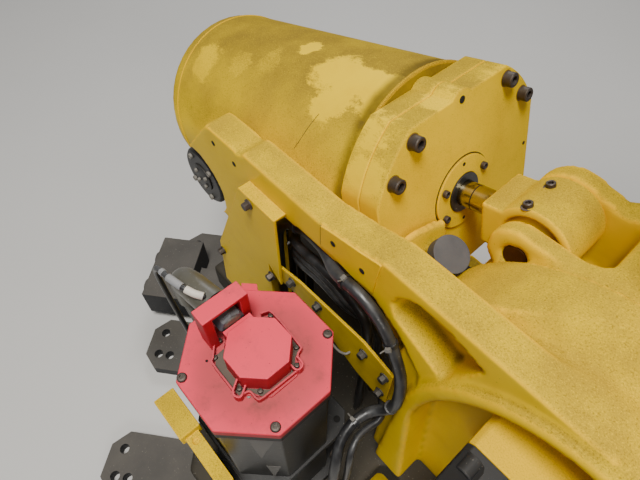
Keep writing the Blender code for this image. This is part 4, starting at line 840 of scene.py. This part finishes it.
def wall_fixings():
    """The near wall's machined pad and holes, the bolts of its brackets and a wire clip."""
    proud = 0.0018
    sunk = 0.0005
    pad_face = WALL_FACE - proud
    seats = (
        (-0.225, WALL_FACE, 0.798), (-0.178, WALL_FACE, 0.794),
        (0.017, pad_face, 0.818), (0.063, pad_face, 0.816),
    )
    group("wall_holes", hole_mark, [Vector(seat) for seat in seats], NEAR, (0.0040,), hole_dark)

    def pad(built):
        outline = (
            (-0.0040, 0.8300), (0.0220, 0.8370), (0.0560, 0.8440), (0.0850, 0.8520), (0.0865, 0.8500),
            (0.0835, 0.8220), (0.0820, 0.7925), (0.0480, 0.7885), (0.0180, 0.7940), (-0.0040, 0.7925),
        )
        upright = Matrix(((1, 0, 0, 0), (0, 0, -1, WALL_FACE + sunk), (0, 1, 0, 0), (0, 0, 0, 1)))
        prism(built, outline, proud + sunk, upright)

    machined = piece("wall_machined_pad", pad, machined_paint)
    modifier(machined, "BEVEL", width=0.0006, segments=2, limit_method="ANGLE")
    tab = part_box("tab_bracket")[0].y
    places = [Vector((x, tab, z)) for x, z in ((-0.122, 0.777), (-0.091, 0.642), (-0.240, 0.548))]
    group("tab_bolts", hex_head, places, NEAR, (0.0062, 0.0075), screw_steel)
    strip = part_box("strip_bracket")[0].y
    seats = ((-0.047, 0.673), (0.008, 0.680), (0.094, 0.673), (0.132, 0.665), (0.131, 0.612))
    places = [Vector((x, strip, z)) for x, z in seats]
    group("strip_bolts", hex_head, places, NEAR, (0.0058, 0.0070), black_screw)

    def cut_line(built):
        sweep(built, [Vector((-0.0050, WALL_FACE, z)) for z in (0.829, 0.793)], 0.0009, 6)

    piece("wall_pad_line", cut_line, grimy_hollow)

    def wire(built):
        points = (
            (0.036, strip, 0.640),
            (0.038, strip - 0.006, 0.640),
            (0.046, strip - 0.009, 0.635),
            (0.060, strip - 0.009, 0.634),
            (0.069, strip - 0.006, 0.637),
            (0.071, strip, 0.637),
        )
        sweep(built, smooth_route(points), 0.0018, 10)

    piece("strip_wire_clip", wire, pale_screw)


def arm_fixings():
    """Screws of the shoulder cover and of the elbow's two faces."""
    centre = Vector((SHOULDER.x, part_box("shoulder_cover")[1].y, SHOULDER.z))
    places = ring_places(centre, EAST, UP, 0.098, range(15, 375, 30))
    group("shoulder_cover_screws", socket_head, places, FAR, (0.0060, 0.0055), screw_steel)
    far = ELBOW + FAR * ELBOW_HALF_WIDTH
    places = ring_places(far, EAST, UP, 0.112, range(0, 360, 30))
    group("elbow_screws", socket_head, places, FAR, (0.0080, 0.0080), screw_steel)
    near = ELBOW + NEAR * ELBOW_HALF_WIDTH
    places = ring_places(near, EAST, UP, 0.120, range(0, 360, 30))
    group("elbow_holes", hole_mark, places, NEAR, (0.0055,), hole_dark)

    def spigot(built):
        stack(built, facing(near, NEAR), ((0.0800, 0, 0), (0.0800, 0.0006, 0), (0.0780, 0.0008, 0)), 48)

    piece("elbow_machined_ring", spigot, machined_steel)


def upright_wall(built, route, half, height, at):
    """One thin wall along a route in X and Y, rising along Z."""
    rows = []
    for number, place in enumerate(route):
        ahead = route[min(number + 1, len(route) - 1)] - route[max(number - 1, 0)]
        side = Vector((ahead.y, -ahead.x, 0)).normalized() * half
        top = UP * height
        corners = (place + side, place + side + top, place - side + top, place - side)
        rows.append([built.verts.new(at @ corner) for corner in corners])
    for lower, upper in zip(rows, rows[1:]):
        for step in range(4):
            after = (step + 1) % 4
            built.faces.new((lower[step], lower[after], upper[after], upper[step]))
    built.faces.new(rows[0])
    built.faces.new(rows[-1])


def foot_tray(built, at):
    """Thin wall round the lobed foot of an encoder cap, with its two long lugs."""
    rim = (
        (-0.051, -0.027), (-0.034, -0.041), (-0.028, -0.0455), (0.012, -0.0462), (0.014, -0.0475),
        (0.0185, -0.0480), (0.0225, -0.0460), (0.0230, -0.0380), (0.0260, -0.0330), (0.0360, -0.0325),
        (0.0400, -0.0260), (0.0412, 0.0180), (0.0430, 0.0210), (0.0400, 0.0265), (0.0350, 0.0290),
        (0.0270, 0.0330), (0.0240, 0.0405), (0.0170, 0.0420), (-0.0320, 0.0445), (-0.0400, 0.0385),
        (-0.0420, 0.0330),
    )
    lug = (
        (0.0020, -0.0300), (0.0115, -0.0440), (0.0145, -0.0475), (0.0190, -0.0490), (0.0232, -0.0470),
        (0.0238, -0.0425), (0.0145, -0.0290),
    )
    other = (
        (0.0290, 0.0300), (0.0360, 0.0300), (0.0405, 0.0288), (0.0430, 0.0250), (0.0420, 0.0205),
        (0.0380, 0.0185), (0.0290, 0.0185),
    )
    sill = 0.002
    half = 0.0010
    for points, top in ((rim, 0.0095), (lug, 0.0125), (other, 0.0125)):
        route = smooth_route([(x, y, sill) for x, y in points], 3)
        upright_wall(built, route, half, top - sill, at)


def dress_motor(name, middle, direction, shift):
    """Screws, cap tray and grime of one motor, from the middle of its red plate's outer face. The
    cap stands at a shift from there."""
    at = facing(middle, direction)
    corners = ((-0.035, -0.079), (0.077, -0.034), (0.034, 0.079), (-0.079, 0.034))
    screws = [at @ Vector((x, y, 0)) for x, y in corners]
    group(f"{name}_plate_screws", dome_head, screws, direction, (0.0060, 0.0034), screw_steel)
    cap = at @ Matrix.Translation((*shift, 0))

    def tray(built):
        foot_tray(built, cap)

    piece(f"{name}_cap_tray", tray, red)

    def grime(built):
        corners = (
            (-0.036, -0.038), (-0.026, -0.0440), (0.012, -0.0450), (0.022, -0.0440),
            (0.0250, -0.0320), (0.0390, -0.0250), (0.0400, 0.0180), (0.0260, 0.0300),
            (0.0230, 0.0400), (0.0170, 0.0410), (-0.0320, 0.0430), (-0.0400, 0.0330),
        )
        prism(built, corners, 0.0006, cap @ Matrix.Translation((0, 0, 0.0028)))

    piece(f"{name}_cap_grime", grime, grimy_hollow)
    seats = (
        (-0.034, -0.0390), (0.0135, -0.0395), (0.0310, -0.0240), (0.0350, 0.0250),
        (0.0180, 0.0385), (-0.034, 0.0415), (-0.0480, -0.0230),
    )
    heads = [cap @ Vector((x, y, 0.0034)) for x, y in seats]
    group(f"{name}_cap_screws", dome_head, heads, direction, (0.0034, 0.0030), screw_steel)
    beside_lug = cap @ Vector((0.0260, -0.0365, 0))
    group(f"{name}_cap_hole", hole_mark, [beside_lug], direction, (0.0022,), pale_screw)
    vent = at @ Vector((-0.033, -0.047, 0))
    group(f"{name}_vent", hole_mark, [vent], direction, (0.0016,), hole_dark)


def dress_motors():
    """Finishes and fixings of both motors, and the pocket in the shoulder motor's flange, drawn as a
    thin sheet of painted shade.
    """
    paint(("slew_motor_body", "shoulder_motor_body"), motor_black)
    paint(("slew_motor_flange", "shoulder_motor_flange"), flange_iron)
    red_nodes = (
        "slew_motor_plate", "slew_encoder_cap", "connector_guard",
        "shoulder_motor_plate", "shoulder_encoder_cap",
    )
    paint(red_nodes, red)
    for name in red_nodes:
        crisp_edges(name, 0.0012)
    for name in ("slew_motor_body", "shoulder_motor_body", "slew_motor_flange", "shoulder_motor_flange"):
        crisp_edges(name, 0.0018)
    dress_motor("slew", SLEW_MOTOR, UP, CAP_SHIFT)
    dress_motor("shoulder", SHOULDER_MOTOR, NEAR, (0, 0))
    flange_top = Vector((SLEW_MOTOR.x, SLEW_MOTOR.y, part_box("slew_motor_flange")[1].z))
    bolts = four_places(flange_top, EAST * 0.082, FAR * 0.058)
    group("slew_flange_bolts", socket_head, bolts, UP, (0.0085, 0.0100), screw_steel)
    mount_face = -0.2403
    notch_depth = 0.022
    notch_floor = Vector((SHOULDER_MOTOR.x, mount_face - notch_depth, SHOULDER_MOTOR.z))
    screws = four_places(notch_floor, EAST * 0.071, UP * 0.071)
    group("shoulder_flange_screws", socket_head, screws, NEAR, (0.0090, 0.0120), screw_steel)

    top = SHOULDER_MOTOR.z + FLANGE_HALF
    west = SHOULDER_MOTOR.x - FLANGE_HALF

    # The pocket is a thin near-black sheet of painted shade on the flange's top.
    def pocket(built):
        corners = (
            (west + 0.0015, -0.3095), (west + 0.0015, -0.2520), (west + 0.0040, -0.2485),
            (west + 0.0190, -0.2480), (west + 0.0250, -0.2500), (west + 0.0275, -0.2550),
            (west + 0.0275, -0.3095),
        )
        prism(built, corners, 0.0005, Matrix.Translation((0, 0, top - 0.0001)))

    piece("flange_pocket", pocket, hole_dark)
    place = Vector((west + 0.0145, -0.2500, top - 0.0035))
    group("flange_pocket_screw", socket_head, [place], NEAR, (0.0095, 0.0200), flange_iron)

    def lug(built):
        corners = ((-0.064, -0.292), (-0.050, -0.278), (-0.041, -0.283), (-0.055, -0.298))
        prism(built, corners, 0.006, Matrix.Translation((0, 0, 0.717)))

    piece("plate_edge_lug", lug, red)


def motor_collar():
    """Mounting collar round the slew motor's body, with ears at its corners, and the small grey
    facets where the body's corner steps back."""
    underside = Vector((SLEW_MOTOR.x, SLEW_MOTOR.y, 0.486))
    thick = 0.014

    def ring(built):
        half = 0.0885
        cut = 0.020
        outer = []
        for x, y in ((1, 1), (-1, 1), (-1, -1), (1, -1)):
            pair = [(half * x, (half - cut) * y), ((half - cut) * x, half * y)]
            outer += pair if x * y > 0 else pair[::-1]
        prism(built, outer, thick, Matrix.Translation(underside))

    collar = piece("motor_collar", ring, flange_iron, smooth=False)
    modifier(collar, "BEVEL", width=0.0015, segments=2, limit_method="ANGLE")
    holes = four_places(underside + UP * thick, EAST * 0.0695, FAR * 0.0695)
    group("collar_holes", hole_mark, holes, UP, (0.0052,), hole_dark)

    def facets(built):
        out = Vector((1, -1, 0)).normalized()
        for corners in (
            ((0.0850, -0.3988, 0.6940), (0.1072, -0.3766, 0.6940), (0.0925, -0.3913, 0.6240)),
            ((0.0926, -0.3912, 0.5620), (0.1059, -0.3779, 0.5620), (0.0985, -0.3853, 0.5200)),
        ):
            places = [Vector(corner) for corner in corners]
            inner = [built.verts.new(place - out * 0.002) for place in places]
            lifted = [place + out * lift for place, lift in zip(places, (0.0004, 0.0004, 0.0050))]
            outer = [built.verts.new(place) for place in lifted]
            built.faces.new(inner)
            built.faces.new(outer)
            for step in range(3):
                after = (step + 1) % 3
                built.faces.new((inner[step], inner[after], outer[after], outer[step]))

    piece("corner_facets", facets, facet_grey, smooth=False)


def connector():
    """Plug under the guard, its boot that turns down, and the tagged lead beside it."""
    across = -0.339
    height = 0.755

    def plug(built):
        at = facing((-0.0345, across, height), EAST, pi / 4)
        rings = ((0.0150, 0, 8), (0.0168, 0.002, 8), (0.0168, 0.023, 8), (0.0150, 0.0255, 8))
        stack(built, at, rings, 32)

    piece("motor_plug", plug, connector_grey, smooth=False)

    def collar(built):
        at = facing((-0.0430, across, height), EAST)
        rings = ((0.0168, 0, 0), (0.0176, 0.001, 0), (0.0176, 0.0075, 0), (0.0168, 0.0085, 0))
        stack(built, at, rings, 32)

    piece("plug_ring", collar, seal_black)

    def boot(built):
        points = (
            (-0.0435, -0.3410, 0.7550), (-0.0550, -0.3430, 0.7550), (-0.0700, -0.3450, 0.7540),
            (-0.0840, -0.3460, 0.7510), (-0.0960, -0.3470, 0.7455), (-0.1060, -0.3470, 0.7370),
            (-0.1125, -0.3465, 0.7220), (-0.1150, -0.3460, 0.7050), (-0.1145, -0.3455, 0.6850),
        )
        route = smooth_route(points, 6)
        last = len(route) - 1
        radii = [0.0185 - 0.0022 * number / last for number in range(last + 1)]
        sweep(built, route, radii, 24)

    piece("plug_boot", boot, olive_boot)

    def sleeve(built):
        points = ((-0.0490, -0.3480, 0.7742), (-0.0570, -0.3540, 0.7766), (-0.0675, -0.3588, 0.7790))
        sweep(built, smooth_route(points), 0.0046, 16)

    piece("lead_tag", sleeve, tag_white)

    def ferrule(built):
        front = ((-0.0720, -0.3603, 0.7796), (-0.0820, -0.3628, 0.7799), (-0.0940, -0.3652, 0.7796))
        back = ((-0.1020, -0.3660, 0.7785), (-0.1075, -0.3665, 0.7775))
        sweep(built, smooth_route(front), 0.0048, 16)
        sweep(built, smooth_route(back), 0.0045, 16)

    piece("lead_ferrule", ferrule, pale_plug)


def hoses():
    """Finishes of the cables, and the ties that hold them. The first three show their heads."""
    sheathed = ("cable_front", "cable_slim", "cable_upper", "cable_middle", "cable_rear", "tag_cable")
    paint(sheathed, hose_black)
    paint(("power_cable",), olive_boot)
    for name in (*sheathed, "power_cable"):
        cable = nodes[name]
        cable.data.polygons.foreach_set("use_smooth", [True] * len(cable.data.polygons))
        modifier(cable, "WELD", merge_threshold=0.00002)
        modifier(cable, "SUBSURF", levels=1, render_levels=1)
    ties = (
        ((0.0475, -0.2189, 0.7835), (0.96, -0.05, 0.29)),
        ((0.1251, -0.2197, 0.7452), (0.51, -0.02, -0.86)),
        ((0.1324, -0.2700, 0.5785), (0.05, -0.98, -0.2)),
        ((0.1564, -0.2306, 0.6180), (-0.16, -0.03, -0.99)),
        ((-0.0680, -0.1950, 0.7530), (0.90, -0.02, 0.42)),
    )
    head_sides = ((0, -0.25, 1), (0.4, -0.85, 0.4), (-0.3, -0.1, 1))

    def bands(built):
        for place, direction in ties:
            at = facing(place, direction)
            rings = ((0.0080, -0.0026, 0), (0.0093, -0.0024, 0), (0.0093, 0.0024, 0), (0.0080, 0.0026, 0))
            stack(built, at, rings, 28)

    piece("cable_ties", bands, seal_black)

    def heads(built):
        for (place, direction), head_side in zip(ties, head_sides):
            side = Vector(head_side).normalized()
            along = Vector(direction).normalized()
            third = along.cross(side).normalized()
            turn = Matrix((along, third, along.cross(third) * -1)).transposed().to_4x4()
            at = Matrix.Translation(Vector(place) + side * 0.0088) @ turn
            corners = ((-0.0026, -0.0034), (0.0026, -0.0034), (0.0026, 0.0034), (-0.0026, 0.0034))
            prism(built, corners, 0.0040, at)
            root = Vector(place) + side * 0.0110 + third * 0.003
            tail = [root, root + third * 0.003 + side * 0.003, root + third * 0.005 + side * 0.006]
            sweep(built, tail, 0.0010, 6)

    piece("tie_heads", heads, tie_pale)


def dress_brackets():
    paint(("tab_bracket", "side_bracket"), sheet_paint)
    paint(("strip_bracket",), strip_paint)
    crisp_edges("tab_bracket", 0.0008, 2)
    crisp_edges("strip_bracket", 0.0008, 2)
    crisp_edges("side_bracket", 0.0016, 2)


def in_base(x, y, z):
    """A place in the base's own frame, which stands turned from the turret's."""
    return Vector((x * cos(BASE_TURN) - y * sin(BASE_TURN), x * sin(BASE_TURN) + y * cos(BASE_TURN), z))


def dress_base():
    """Finishes of the base and the floor plates, the foot bolts and the sockets of the box."""
    plates = [f"anchor_plate_{number}" for number in range(1, 7)] + ["base_centre_plate"]
    paint((*plates, "base_connector_box"), dark_iron)
    paint(("slew_bearing",), bearing_steel)
    for name in plates:
        crisp_edges(name, 0.002, 2)
    crisp_edges("base_connector_box", 0.001, 2)
    plate_top = 0.0303
    foot_thick = 0.045
    bolt_circle = 0.345
    foot = UP * (plate_top + foot_thick)
    places = ring_places(foot, in_base(1, 0, 0), in_base(0, 1, 0), bolt_circle, range(0, 360, 45))
    group("base_foot_bolts", hex_head, places, UP, (0.0150, 0.0150), screw_steel, "base")
    box_face = -0.650
    sockets = [in_base(box_face, y, 0.082) for y in (0.136, 0.226)]
    out = in_base(-1, 0, 0)

    def shells(built):
        for place in sockets:
            at = facing(place, out)
            rings = (
                (0.024, 0, 0), (0.024, 0.006, 0), (0.020, 0.007, 0), (0.020, 0.0135, 0),
                (0.018, 0.015, 0), (0.016, 0.015, 0), (0.016, 0.008, 0),
            )
            stack(built, at, rings, 32)

    piece("box_sockets", shells, dark_iron, "base")


make_camera()
make_studio()
dress_castings()
dress_balancer()
cover_fixings()
tube_seams()
rod_details()
trunnion_fixings()
wall_fixings()
arm_fixings()
dress_motors()
motor_collar()
connector()
hoses()
dress_brackets()
dress_base()
